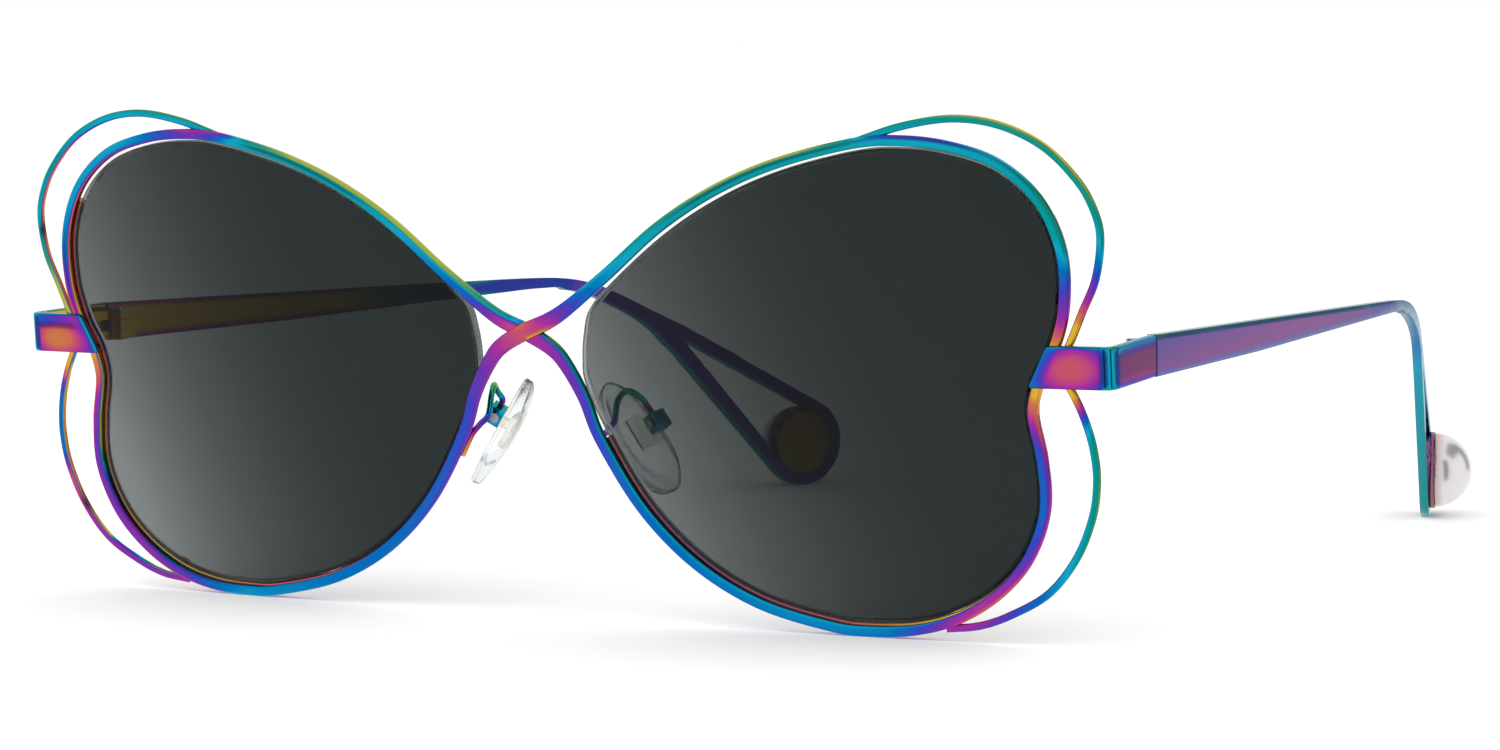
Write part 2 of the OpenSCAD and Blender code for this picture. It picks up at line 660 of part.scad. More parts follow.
// Arm from the eyewire's nose side, up and round a loop to the top of the pad box
box_top = [pad_axis[0] - (box_size[2] / 2 + 0.05) * sin(pad_frontal), pad_axis[1],
    pad_axis[2] + (box_size[2] / 2 + 0.05) * cos(pad_frontal)];
low_line = smooth(lower_half);
function foot_at(i) = let (p = low_line[i],
        q = p + (arm_d / 2 + 2 * seat + eye_width - lens_gap - wire_half_width(p)) * side_at(low_line, i))
    [q[0], sag(q[0], q[1]) + wire_depth + arm_d / 2 + 2 * seat, q[1]];
arm_points = [foot_at(35), foot_at(36) + [0, 0.2, 0], foot_at(36) + [-0.25, 1.65, 1], [8.9, 4.9, -6.6],
    [8.9, 5.8, -4.4], [9.4, 7.2, -3.4], box_top + [-0.6, -1.4, 2], box_top + [-0.5, -0.3, 0.9], box_top];

function unit3(v) = v / norm(v);
function tube_rings(p, r, m) = [for (i = [0:len(p) - 1])
    let (d = unit3(p[min(i + 1, len(p) - 1)] - p[max(i - 1, 0)]), u = unit3(cross(d, [1, 0.2, 0])),
        v = cross(d, u))
    for (k = [0:m - 1]) p[i] + r * (cos(360 * k / m) * u + sin(360 * k / m) * v)];

module tube(p, r, m) {
    n = len(p);
    polyhedron(points = tube_rings(p, r, m), faces = concat([[for (k = [m - 1:-1:0]) k]],
        [for (i = [0:n - 2], k = [0:m - 1]) [i * m + k, i * m + (k + 1) % m, (i + 1) * m + (k + 1) % m]],
        [for (i = [0:n - 2], k = [0:m - 1]) [i * m + k, (i + 1) * m + (k + 1) % m, (i + 1) * m + k]],
        [[for (k = [0:m - 1]) (n - 1) * m + k]]));
}

module pad_arm(side) {
    color("seagreen") whole() on_front() on_side(side) tube(smooth(arm_points, 4), arm_d / 2, 10);
}

rim_wire_over();
rim_wire_under();
wing_wire_upper(left);  // wing_wire_upper_left
wing_wire_upper(right);  // wing_wire_upper_right
wing_wire_lower(left);  // wing_wire_lower_left
wing_wire_lower(right);  // wing_wire_lower_right
eyewire(left);  // eyewire_left
eyewire(right);  // eyewire_right
lens(left);  // lens_left
lens(right);  // lens_right
nylon_cord(left);  // nylon_cord_left
nylon_cord(right);  // nylon_cord_right
end_piece(left);  // end_piece_left
end_piece(right);  // end_piece_right
hinge_front(left);  // hinge_front_left
hinge_front(right);  // hinge_front_right
hinge_screw(left);  // hinge_screw_left
hinge_screw(right);  // hinge_screw_right
pad_arm(left);  // pad_arm_left
pad_arm(right);  // pad_arm_right
pad_box(left);  // pad_box_left
pad_box(right);  // pad_box_right
pad_screw(left);  // pad_screw_left
pad_screw(right);  // pad_screw_right
pad_insert(left);  // pad_insert_left
pad_insert(right);  // pad_insert_right
nose_pad(left);  // nose_pad_left
nose_pad(right);  // nose_pad_right
temple(left);  // temple_left
temple(right);  // temple_right
hinge_temple(left);  // hinge_temple_left
hinge_temple(right);  // hinge_temple_right
pearl_tray(left);  // pearl_tray_left
pearl_tray(right);  // pearl_tray_right
pearl(left);  // pearl_left
pearl(right);  // pearl_right
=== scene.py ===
# Butterfly sunglasses as in the photo. The front's pieces are made in the leaning front's own
# frame, in millimetres, with x to the wearer's left, y to the back and z up. They are then put
# on the CAD's place. Temples, trays, pearls and pad boxes start from the CAD's own shapes.
import json
import math
import bmesh
import bpy
from mathutils import Matrix, Vector


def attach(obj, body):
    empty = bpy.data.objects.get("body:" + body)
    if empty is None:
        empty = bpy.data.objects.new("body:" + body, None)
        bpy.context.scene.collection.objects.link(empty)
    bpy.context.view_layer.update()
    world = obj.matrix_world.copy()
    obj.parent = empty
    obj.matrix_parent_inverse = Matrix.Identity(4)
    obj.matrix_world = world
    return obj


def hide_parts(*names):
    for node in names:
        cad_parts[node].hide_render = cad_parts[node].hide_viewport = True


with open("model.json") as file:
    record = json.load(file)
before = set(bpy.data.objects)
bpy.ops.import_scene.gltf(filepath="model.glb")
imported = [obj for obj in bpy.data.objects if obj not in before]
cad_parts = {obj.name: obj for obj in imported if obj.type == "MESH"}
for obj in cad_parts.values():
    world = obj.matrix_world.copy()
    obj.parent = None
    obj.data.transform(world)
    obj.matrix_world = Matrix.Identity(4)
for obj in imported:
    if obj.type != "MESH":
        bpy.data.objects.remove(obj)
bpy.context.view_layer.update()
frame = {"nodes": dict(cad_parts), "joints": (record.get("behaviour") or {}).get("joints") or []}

# Camera
# A long lens a good half metre away, turned to the wearer's left side and tilted a little, as
# in the photo. It is placed against the front, which leans by front_lean.
MM = 0.001
FOCAL_PIXELS, PHOTO_WIDTH, SENSOR_WIDTH = 5009.06, 1500, 36
LOOKS_AT, DISTANCE = Vector((30.1, 0, 0.11)), 562.94
front_lean = 4.15
pad_axis = Vector((11.35, 10.3, -7.4))
lean = Matrix.Rotation(math.radians(front_lean), 4, "X")
joint = {j["name"]: j for j in frame["joints"]}
front_place = Matrix.Translation(Vector(joint["pad_left_rock"]["pos_m"]) - lean @ (pad_axis * MM)) @ lean
azimuth, elevation, roll = 0.541140, 0.141492, -0.047354
back = Vector((math.sin(azimuth) * math.cos(elevation), -math.cos(azimuth) * math.cos(elevation),
               math.sin(elevation)))
level_right = Vector((math.cos(azimuth), math.sin(azimuth), 0))
level_up = back.cross(level_right)
right = math.cos(roll) * level_right + math.sin(roll) * level_up
up = math.cos(roll) * level_up - math.sin(roll) * level_right
eye = LOOKS_AT + DISTANCE * back
camera = bpy.data.objects.new("camera", bpy.data.cameras.new("camera"))
camera.data.sensor_width = SENSOR_WIDTH
camera.data.lens = FOCAL_PIXELS / PHOTO_WIDTH * SENSOR_WIDTH
camera.data.clip_start = 0.05
camera.matrix_world = (front_place @ Matrix.Translation(eye * MM)
                       @ Matrix((right, up, back)).transposed().to_4x4())
bpy.context.scene.collection.objects.link(camera)
bpy.context.scene.camera = camera

# Rim wires
# Two flat drawn steel wires, bent into long S shapes. Each runs round the lower half of one
# lens, over the bridge and round the upper half of the other. They are brazed where they cross
# and plated with an oil-slick film, whose thickness gives the colours. The dark lines along them
# are painted reflections.
WIRE_WIDTH, WIRE_DEPTH, WIRE_EDGE = 1.2, 0.8, 0.19
FRONT_BOW = 860
CROSSING = Vector((0, 4.15))
CROSSING_SWELL, SWELL_REACH, CROSSING_RISE, RISE_RADIUS = 0.4, 8, 0.5, 35
UPPER_HALF = [(4.4, 6.1), (10.9, 10.7), (18.4, 16.5), (25.9, 20.8), (33.9, 23.9), (43.2, 26.1),
              (49, 26.5), (55, 25.9), (61, 24), (65.8, 20), (68.3, 14.4), (68.4, 8.2), (66.9, 3.2)]
LOWER_HALF = [(64.3, -3.6), (65.2, -8.9), (65.2, -14.5), (62.9, -19.9), (59, -24), (54.1, -26.9),
              (48.8, -28.4), (43.4, -28.8), (38.4, -28.5), (29.2, -26.3), (21.2, -22.1), (14.6, -16),
              (9.5, -8.2), (7.5, -3.3), (5.3, 0.4), (3.4, 2.35)]
NOTCH = (65.1, 0)


def srgb(code):
    """A colour of the photo, written as hex, in linear light."""
    parts = [int(code[i:i + 2], 16) / 255 for i in (1, 3, 5)]
    return tuple(c / 12.92 if c <= 0.04045 else ((c + 0.055) / 1.055) ** 2.4 for c in parts) + (1,)


def add(tree, kind, feeds=(), **settings):
    """A node with its settings. Each feed is a socket's name or number, and a value or an output."""
    node = tree.nodes.new(kind)
    for name, value in settings.items():
        setattr(node, name, value)
    for socket, value in feeds:
        if isinstance(value, bpy.types.NodeSocket):
            tree.links.new(value, node.inputs[socket])
        else:
            node.inputs[socket].default_value = value
    return node


def sag(x, z=0):
    """How far the gently bowed front lies back at this place."""
    return FRONT_BOW - math.sqrt(FRONT_BOW * FRONT_BOW - x * x - z * z)


def smooth(points, count=10, closed=False):
    """The line through these points, with this many steps between neighbours."""
    p = [Vector(q) for q in points]
    n = len(p)
    if closed:
        q = [p[-1]] + p + [p[0], p[1]]
    else:
        q = [2 * p[0] - p[1]] + p + [2 * p[-1] - p[-2]]
    line = []
    for i in range(1, n + 1 if closed else n):
        a, b, c, d = q[i - 1], q[i], q[i + 1], q[i + 2]
        for k in range(count):
            t = k / count
            line.append(0.5 * (2 * b + (c - a) * t + (2 * a - 5 * b + 4 * c - d) * t * t
                               + (3 * b - a - 3 * c + d) * t * t * t))
    return line if closed else line + [p[-1]]


def sides(line, closed=False):
    """The direction to the left of the line at each of its points."""
    n = len(line)
    ends = [(line[(i - 1) % n], line[(i + 1) % n]) if closed else
            (line[max(i - 1, 0)], line[min(i + 1, n - 1)]) for i in range(n)]
    return [Vector((a.y - b.y, b.x - a.x)).normalized() for a, b in ends]


def along(stops, u):
    """The value at u between stops given as (place, value)."""
    for (a, x), (b, y) in zip(stops, stops[1:]):
        if u <= b:
            return x if u <= a else x + (y - x) * (u - a) / (b - a)
    return stops[-1][1]


def soft(a, b, x):
    """A soft step from 0 at a to 1 at b."""
    t = min(max((x - a) / (b - a), 0), 1)
    return t * t * (3 - 2 * t)


def drawn_wire_tree():
    """Sweeps a rounded rectangle along a line of points, each with its own frame and size."""
    tree = bpy.data.node_groups.new("drawn_wire", "GeometryNodeTree")
    for name, kind in (("Geometry", "NodeSocketGeometry"), ("Width", "NodeSocketFloat"),
                       ("Depth", "NodeSocketFloat"), ("Edge radius", "NodeSocketFloat"),
                       ("Cuts", "NodeSocketInt"), ("Material", "NodeSocketMaterial")):
        tree.interface.new_socket(name, in_out="INPUT", socket_type=kind)
    tree.interface.new_socket("Geometry", in_out="OUTPUT", socket_type="NodeSocketGeometry")
    given = add(tree, "NodeGroupInput").outputs
    here = add(tree, "GeometryNodeInputPosition").outputs[0]

    def keep(geometry, name):
        return add(tree, "GeometryNodeStoreNamedAttribute",
                   (("Geometry", geometry), ("Name", name), ("Value", here)),
                   data_type="FLOAT_VECTOR", domain="POINT").outputs[0]

    def named(name, kind="FLOAT_VECTOR"):
        return add(tree, "GeometryNodeInputNamedAttribute", (("Name", name),), data_type=kind).outputs[0]

    def math_node(operation, a, b=0.0):
        return add(tree, "ShaderNodeMath", ((0, a), (1, b)), operation=operation).outputs[0]

    # Only the wide sides of the section are cut, as the narrow ones are mostly rounding.
    line = add(tree, "GeometryNodeMeshToCurve", (("Mesh", given["Geometry"]),)).outputs[0]
    section = add(tree, "GeometryNodeCurvePrimitiveQuadrilateral",
                  (("Width", given["Width"]), ("Height", given["Depth"]))).outputs[0]
    odd = math_node("MODULO", add(tree, "GeometryNodeInputIndex").outputs[0], 2.0)
    cuts = math_node("MULTIPLY", given["Cuts"], math_node("SUBTRACT", 1.0, odd))
    section = add(tree, "GeometryNodeSubdivideCurve", (("Curve", section), ("Cuts", cuts))).outputs[0]
    section = add(tree, "GeometryNodeFilletCurve",
                  (("Curve", section), ("Radius", given["Edge radius"]), ("Count", 3)),
                  mode="POLY").outputs[0]
    swept = add(tree, "GeometryNodeCurveToMesh", (("Curve", keep(line, "path_at")),
                ("Profile Curve", keep(section, "section")), ("Fill Caps", True))).outputs[0]
    parts = add(tree, "ShaderNodeSeparateXYZ", ((0, named("section")),)).outputs
    place = named("path_at")
    for axis, part, size, whole in (("side", parts[0], "half", math_node("MULTIPLY", given["Width"], 0.5)),
                                    ("deep", parts[1], "thick", given["Depth"])):
        reach = math_node("MULTIPLY", part, math_node("DIVIDE", named(size, "FLOAT"), whole))
        step = add(tree, "ShaderNodeVectorMath", ((0, named(axis)), ("Scale", reach)), operation="SCALE")
        place = add(tree, "ShaderNodeVectorMath", ((0, place), (1, step.outputs[0]))).outputs[0]
    moved = add(tree, "GeometryNodeSetPosition", (("Geometry", swept), ("Position", place))).outputs[0]
    shaded = add(tree, "GeometryNodeSetShadeSmooth", ((0, moved),)).outputs[0]
    real = add(tree, "GeometryNodeRealizeInstances", ((0, shaded),)).outputs[0]
    dressed = add(tree, "GeometryNodeSetMaterial",
                  (("Geometry", real), ("Material", given["Material"]))).outputs[0]
    add(tree, "NodeGroupOutput", ((0, dressed),))
    return tree


wire_tree = drawn_wire_tree()


def link(name, mesh):
    obj = bpy.data.objects.new(name, mesh)
    bpy.context.scene.collection.objects.link(obj)
    return obj


def outward(mesh, merge=0):
    """Turns a closed mesh's faces outwards, after points nearer than merge are made one."""
    shape = bmesh.new()
    shape.from_mesh(mesh)
    if merge:
        bmesh.ops.remove_doubles(shape, verts=shape.verts, dist=merge)
    bmesh.ops.recalc_face_normals(shape, faces=shape.faces)
    shape.to_mesh(mesh)
    shape.free()


def paint(mesh, rule):
    """Keeps the film's place in its colour run at each point, with its painted darkness, which stands for
    shade and dark reflections, and its painted greyness, which stands for duller reflections.
    """
    run = [d.value for d in mesh.attributes["run"].data]
    cut = [Vector(d.vector) for d in mesh.attributes["section"].data]
    film = mesh.attributes.new("film", "FLOAT_VECTOR", "POINT")
    for i, v in enumerate(mesh.vertices):
        film.data[i].vector = rule(v.co, v.normal, run[i], cut[i])
    for name in ("path_at", "section", "side", "deep", "half", "thick", "run"):
        mesh.attributes.remove(mesh.attributes[name])


def wire(name, path, side, deep, half, thick, size, edge, material, run, rule, cuts=0):
    """A wire along the path. Sizes are half width and thickness at each point, and the section's."""
    mesh = bpy.data.meshes.new(name)
    mesh.from_pydata(path, [(i, i + 1) for i in range(len(path) - 1)], [])
    for key, kind, values in (("side", "FLOAT_VECTOR", side), ("deep", "FLOAT_VECTOR", deep),
                              ("half", "FLOAT", half), ("thick", "FLOAT", thick), ("run", "FLOAT", run)):
        data = mesh.attributes.new(key, kind, "POINT").data
        for i, value in enumerate(values):
            if kind == "FLOAT":
                data[i].value = value
            else:
                data[i].vector = value
    obj = link(name, mesh)
    modifier = obj.modifiers.new("drawn", "NODES")
    modifier.node_group = wire_tree
    values = {"Width": size[0], "Depth": size[1], "Edge radius": edge, "Cuts": cuts, "Material": material}
    for item in wire_tree.interface.items_tree:
        if item.in_out == "INPUT" and item.name in values:
            modifier[item.identifier] = values[item.name]
    made = bpy.data.meshes.new_from_object(obj.evaluated_get(bpy.context.evaluated_depsgraph_get()))
    obj.modifiers.remove(modifier)
    obj.data = made
    outward(made, merge=0.002)
    paint(made, rule)
    made.transform(front_place @ Matrix.Scale(MM, 4))
    return obj


def colour_run(tree, value, colours):
    """Colours at these places of a value from 0 to 1."""
    ramp = add(tree, "ShaderNodeValToRGB", ((0, value),))
    stops = ramp.color_ramp.elements
    while len(stops) < len(colours):
        stops.new(0.5)
    for stop, (place, colour) in zip(stops, colours):
        stop.position = place
    for stop, (place, colour) in zip(stops, colours):
        stop.color = colour
    return ramp.outputs[0]


def plated(name, roughness=0.16, grain=0.02):
    """Steel under an oil-slick film: a mirror whose colour runs round and round with the film. Painted shade
    and painted dark reflections darken it, and painted duller reflections grey it.
    """
    material = bpy.data.materials.new(name)
    material.use_nodes = True
    tree = material.node_tree
    tree.nodes.clear()
    film = add(tree, "ShaderNodeAttribute", attribute_name="film")
    parts = add(tree, "ShaderNodeSeparateXYZ", ((0, film.outputs["Vector"]),)).outputs
    places = add(tree, "ShaderNodeTexCoord").outputs["Object"]
    uneven = add(tree, "ShaderNodeTexNoise", (("Vector", places), ("Scale", 260.0), ("Detail", 1.0)))
    small = add(tree, "ShaderNodeMath", ((0, uneven.outputs[0]), (1, grain), (2, -grain / 2)),
                operation="MULTIPLY_ADD")
    total = add(tree, "ShaderNodeMath", ((0, parts[0]), (1, small.outputs[0])), operation="ADD")
    within = add(tree, "ShaderNodeMath", ((0, total.outputs[0]),), operation="FRACT")
    film_colour = colour_run(tree, within.outputs[0], [(p, srgb(c)) for p, c in (
        (0, "#dcb038"), (0.08, "#cc7a44"), (0.18, "#c65566"), (0.3, "#a8309a"), (0.42, "#6c34ac"),
        (0.52, "#3644be"), (0.62, "#006cb8"), (0.72, "#14a4c4"), (0.8, "#00928e"), (0.88, "#34946a"),
        (0.95, "#a4b248"), (1, "#dcb038"))])
    # The vector's third part mixes the film colour towards grey as a painted duller reflection, and its
    # second part towards near black as painted shade and painted dark reflections.
    grey = add(tree, "ShaderNodeMix", (("Factor", parts[2]), (6, film_colour), (7, (0.2, 0.19, 0.19, 1))),
               data_type="RGBA")
    dark = add(tree, "ShaderNodeMix",
               (("Factor", parts[1]), (6, grey.outputs[2]), (7, (0.012, 0.012, 0.02, 1))), data_type="RGBA")
    edge = add(tree, "ShaderNodeMix", (("Factor", 0.7), (6, dark.outputs[2]), (7, (1, 1, 1, 1))),
               data_type="RGBA")
    metal = add(tree, "ShaderNodeBsdfPrincipled", (("Base Color", dark.outputs[2]), ("Metallic", 1.0),
                ("Roughness", roughness), ("Specular Tint", edge.outputs[2])))
    add(tree, "ShaderNodeOutputMaterial", (("Surface", metal.outputs[0]),))
    return material


plated_metal = plated("plated_steel")


def half_width(p):
    d = (Vector(p) - CROSSING).length / SWELL_REACH
    return WIRE_WIDTH / 2 + CROSSING_SWELL / (1 + d * d)


def flipped(points):
    return [(-x, z) for x, z in points]


def signed_run(line):
    """Share of the way from the crossing to each end, negative towards the wearer's right."""
    far = [0]
    for a, b in zip(line, line[1:]):
        far.append(far[-1] + (b - a).length)
    middle = far[min(range(len(line)), key=lambda i: (line[i] - CROSSING).length)]
    return [(f - middle) / (middle if f < middle else far[-1] - middle) for f in far]


over_line = smooth(flipped([NOTCH] + LOWER_HALF) + [tuple(CROSSING)] + UPPER_HALF + [NOTCH], 12)
under_line = smooth(flipped([NOTCH] + UPPER_HALF[::-1]) + [tuple(CROSSING)] + LOWER_HALF[::-1] + [NOTCH], 12)
# Stops along each half: for the outer edge, the front and the inner edge.
OVER_FILM = {
    1: ([(0, .1), (.04, .4), (.1, .68), (.18, .8), (.26, .88), (.33, .95), (.45, .96), (.51, .84),
         (.55, .6), (.58, .46), (.63, .5), (.68, .68), (.78, .84), (.84, .8), (.88, .5), (.92, .3),
         (.95, .05), (1, 0)],
        [(0, .18), (.035, .3), (.065, .45), (.1, .6), (.14, .66), (.19, .74), (.3, .77), (.5, .76),
         (.6, .72), (.7, .75), (.82, .78), (.86, .64), (.89, .5), (.92, .36), (.94, .15), (.955, 0),
         (1, 0)],
        [(0, 0), (.03, .02), (.06, .5), (.12, .64), (.25, .8), (.6, .78), (.8, .8), (.88, .5), (.94, .1),
         (1, 0)]),
    -1: ([(0, .2), (.05, .36), (.12, .42), (.24, .47), (.32, .58), (.5, .66), (.6, .7), (.64, .3),
          (.67, .1), (.72, .28), (.8, .3), (.88, .2), (.95, 0), (1, 0)],
         [(0, .18), (.03, .26), (.07, .4), (.13, .53), (.2, .57), (.28, .6), (.45, .63), (.57, .67),
          (.63, .6), (.67, .46), (.72, .38), (.8, .4), (.88, .42), (.94, .34), (.97, .12), (1, 0)],
         [(0, .1), (.05, .4), (.3, .58), (.55, .64), (.64, .55), (.7, .62), (.76, .35), (.83, .52),
          (.88, .98), (.95, .95), (1, 1)])}
UNDER_FILM = {
    -1: ([(0, .6), (.03, .82), (.1, .9), (.15, .95), (.4, .96), (.46, .86), (.49, .72), (.52, .35),
          (.58, .3), (.63, .6), (.68, .72), (.85, .68), (.9, .3), (.96, .02), (1, 0)],
         [(0, .16), (.03, .26), (.06, .42), (.1, .6), (.18, .68), (.25, .75), (.45, .77), (.5, .72),
          (.535, .5), (.56, .38), (.6, .52), (.64, .64), (.7, .7), (.8, .69), (.88, .6), (.93, .42),
          (.97, .2), (1, .1)],
         [(0, .2), (.06, .4), (.12, .6), (.3, .78), (.5, .74), (.58, .45), (.68, .3), (.8, .12), (.9, .02),
          (1, 0)]),
    1: ([(0, .32), (.04, .36), (.1, .4), (.16, .46), (.22, .56), (.6, .6), (.66, .4), (.7, .1), (.75, .12),
         (.8, .3), (.9, .4), (.96, .1), (1, 0)],
        [(0, .26), (.03, .34), (.08, .42), (.15, .53), (.22, .6), (.35, .63), (.5, .66), (.6, .64),
         (.64, .5), (.68, .34), (.72, .28), (.76, .36), (.81, .5), (.86, .6), (.92, .54), (.95, .36),
         (.97, .14), (.985, 0), (1, 0)],
        [(0, 0), (.03, .92), (.06, .84), (.2, .74), (.45, .72), (.65, .72), (.72, .5), (.8, .56),
         (.92, .62), (.97, .3), (1, 0)])}
# A dark reflected line: where it lies across the wire, and how dark it is along it.
OVER_LINE = {
    1: ([(0, .1), (.5, .1), (.58, .55), (1, .6)],
        [(.22, 0), (.3, .9), (.5, .8), (.56, .5), (.62, .75), (.74, .6), (.84, 0)]),
    -1: ([(0, -.75)],
         [(.6, 0), (.64, .5), (.8, .35), (.92, .3), (1, 0)])}
UNDER_LINE = {
    -1: ([(0, -.1), (.5, -.1), (.6, .5), (.8, .1), (1, 0)],
         [(.26, 0), (.31, .9), (.46, .9), (.49, 0), (.82, 0), (.88, .7), (.93, .4), (.97, .6), (1, .3)]),
    1: ([(0, -1)],
        [(0, 0), (.03, .5), (.12, .4), (.2, .1), (1, 0)])}


def rim_rule(film, line, upper_sign):
    def rule(co, normal, run, cut):
        way, u = 1 if run > 0 else -1, abs(run)
        across = cut.x / (WIRE_WIDTH / 2) * (1 if way == upper_sign else -1)
        outer, front, inner = film[way]
        start = 0.2 if way == upper_sign and across > 0 else 0.5
        edge = soft(start, start + 0.42, abs(across))
        value = along(front, u) * (1 - edge) + along(outer if across > 0 else inner, u) * edge
        places, depths = line[way]
        # Painted dark reflection: a dark line lying across the wire.
        dark = along(depths, u) * math.exp(-((across - along(places, u)) / 0.22) ** 2)
        return value + (0.12 if normal.y > 0.3 else 0), dark, 0
    return rule


for name, line, film, dark, sign in (("over", over_line, OVER_FILM, OVER_LINE, 1),
                                     ("under", under_line, UNDER_FILM, UNDER_LINE, -1)):
    dome = [CROSSING_RISE - (p - CROSSING).length_squared / (2 * RISE_RADIUS) for p in line]
    lift = [(d + math.sqrt(d * d + 0.01)) / 2 if name == "over" else 0 for d in dome]
    path = [(p.x, sag(p.x, p.y) + (WIRE_DEPTH - up_by) / 2, p.y) for p, up_by in zip(line, lift)]
    rim = wire("rim_" + name, path, [(s.x, 0, s.y) for s in sides(line)], [(0, 1, 0)] * len(line),
               [half_width(p) for p in line], [WIRE_DEPTH + l for l in lift], (WIRE_WIDTH, WIRE_DEPTH),
               WIRE_EDGE, plated_metal, signed_run(line), rim_rule(film, dark, sign), 5)
    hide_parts("rim_wire_" + name)
    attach(rim, "front")

# Wing wires
# Four thinner wires of the same plated steel. They leave the rim near its highest and lowest
# point, swing outside it and end behind the end piece, to which they are brazed.
UPPER_WING = [(41.5, 25.7), (44.3, 26.5), (49.5, 28.05), (55.6, 28.9), (61.2, 28.2), (66.4, 25.85),
              (70.3, 22.15), (72.2, 18.8), (72.8, 15.7), (72.1, 11.4), (70.4, 7.7), (68.8, 4.2), (67.6, 2.3),
              (66.2, 1.1)]
LOWER_WING = [(65.5, -0.35), (67.6, 0.4), (69, -1.2), (70.4, -4.4), (71.2, -7.6), (71.4, -11),
              (70.7, -14.9), (68.6, -19.5), (65.1, -23.6), (60.5, -26.2), (56.6, -27.6), (52.6, -28.1)]
WING_SECTION, WING_HALF, WING_EDGE, WING_MIDDLE = (0.65, 0.6), 0.44, 0.18, 0.6
WING_FILM = {
    ("upper", 1): ([(0, .8), (.15, .86), (.22, .94), (.3, .98), (.45, .97), (.52, .9), (.62, .82),
                    (.68, .6), (.72, .42), (.77, .15), (.8, 0), (1, 0)],
                   [(0, .72), (.15, .77), (.3, .82), (.5, .82), (.6, .76), (.66, .62), (.7, .45),
                    (.74, .32), (.77, .15), (.8, 0), (1, 0)],
                   [(0, .72), (.4, .76), (.6, .7), (.66, .55), (.72, .4), (.77, .1), (.8, 0), (1, 0)]),
    ("upper", -1): ([(0, .8), (.15, .9), (.3, .88), (.4, .8), (.6, .84), (.75, .93), (1, 1)],
                    [(0, .7), (.12, .68), (.2, .76), (.3, .72), (.45, .8), (.6, .74), (.7, .86),
                     (.78, .96), (1, 1)],
                    [(0, .5), (.15, .62), (.3, .6), (.36, .4), (.41, .12), (.5, .08), (.66, .05), (.76, 0),
                     (1, 0)]),
    ("lower", 1): ([(0, 0), (.2, .02), (.22, .2), (.25, .5), (.28, .7), (.35, .86), (.5, .9), (.62, .84),
                    (.7, .7), (.8, .58), (.88, .42), (1, .34)],
                   [(0, 0), (.195, .01), (.215, .12), (.235, .3), (.255, .48), (.28, .66), (.33, .78),
                    (.5, .8), (.62, .76), (.7, .68), (.78, .57), (.84, .45), (.9, .38), (1, .34)],
                   [(0, 0), (.2, .02), (.22, .2), (.24, .4), (.3, .5), (.5, .56), (.7, .54), (.8, .4),
                    (.88, .28), (1, .25)]),
    ("lower", -1): ([(0, 0), (.22, .02), (.25, .3), (.28, .6), (.5, .64), (.55, .4), (.58, .2), (.66, .28),
                     (.8, .36), (1, .3)],
                    [(0, 0), (.22, .02), (.25, .12), (.28, .42), (.33, .58), (.5, .6), (.54, .42),
                     (.57, .2), (.62, .24), (.72, .36), (.85, .4), (1, .36)],
                    [(0, 0), (.22, .98), (.26, 1.05), (.5, 1.1), (.58, 1.12), (.66, 1.0), (.73, 1.02),
                     (.76, .4), (.82, .7), (.88, 1), (1, 1)])}


def wing_rule(film, out):
    def rule(co, normal, run, cut):
        across = cut.x / (WING_SECTION[0] / 2) * out
        outer, front, inner = film
        edge = soft(0.3, 0.85, across) if across > 0 else soft(0.5, 0.95, -across)
        value = along(front, run) * (1 - edge) + along(outer if across > 0 else inner, run) * edge
        # A painted dark reflection spot on the inner edge of the wearer's right wing wires.
        dark = 0.8 * math.exp(-((run - 0.64) / 0.02) ** 2) if out < 0 and across < 0 else 0
        return value + (0.1 if normal.y > 0.3 else 0), dark, 0
    return rule


for part, points in (("upper", UPPER_WING), ("lower", LOWER_WING)):
    for hand, sign in (("left", 1), ("right", -1)):
        line = smooth(points, 10)
        if sign < 0:
            line = [Vector((-p.x, p.y)) for p in line]
        run = [i / (len(line) - 1) for i in range(len(line))]
        n = len(line)
        wing = wire("wing_%s_%s" % (part, hand), [(p.x, sag(p.x, p.y) + WING_MIDDLE, p.y) for p in line],
                    [(s.x, 0, s.y) for s in sides(line)], [(0, 1, 0)] * n, [WING_HALF] * n,
                    [WING_SECTION[1]] * n, WING_SECTION, WING_EDGE, plated_metal, run,
                    wing_rule(WING_FILM[part, sign], sign), 1)
        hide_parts("wing_wire_%s_%s" % (part, hand))
        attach(wing, "front")

# Eyewires
# Rolled steel half rims brazed behind the lower halves of the front wires. A ridge inside them
# sits in the lens groove, and they show as a thin warm line behind the front wire.
LENS_NOSE = [(7.6, -1.8), (7.35, 1.4), (7.75, 4.4), (8.6, 6.9)]
EYE_SECTION, EYE_OFF, EYE_EDGE = (0.92, 1.2), 0.49, 0.2
SEAT = 0.04
LENS_GAP, GROOVE_Y = 0.3, WIRE_DEPTH + SEAT + EYE_SECTION[1] / 2


def inset(guide):
    p = [Vector(q) for q in guide]
    return [q - (half_width(q) + LENS_GAP) * s for q, s in zip(p, sides(p))]


upper_guide = [tuple(CROSSING)] + UPPER_HALF + [NOTCH]
lower_guide = [UPPER_HALF[-1], NOTCH] + LOWER_HALF
lens_points = [tuple(p) for p in inset(upper_guide)[2:-1] + inset(lower_guide)[1:-3]] + LENS_NOSE
LENS_STEPS = 6
lens_line = smooth(lens_points, LENS_STEPS, closed=True)
lens_sides = sides(lens_line, closed=True)
eye_start = 9 * LENS_STEPS - 4
eye_end = (len(lens_points) - len(LENS_NOSE) - 1) * LENS_STEPS


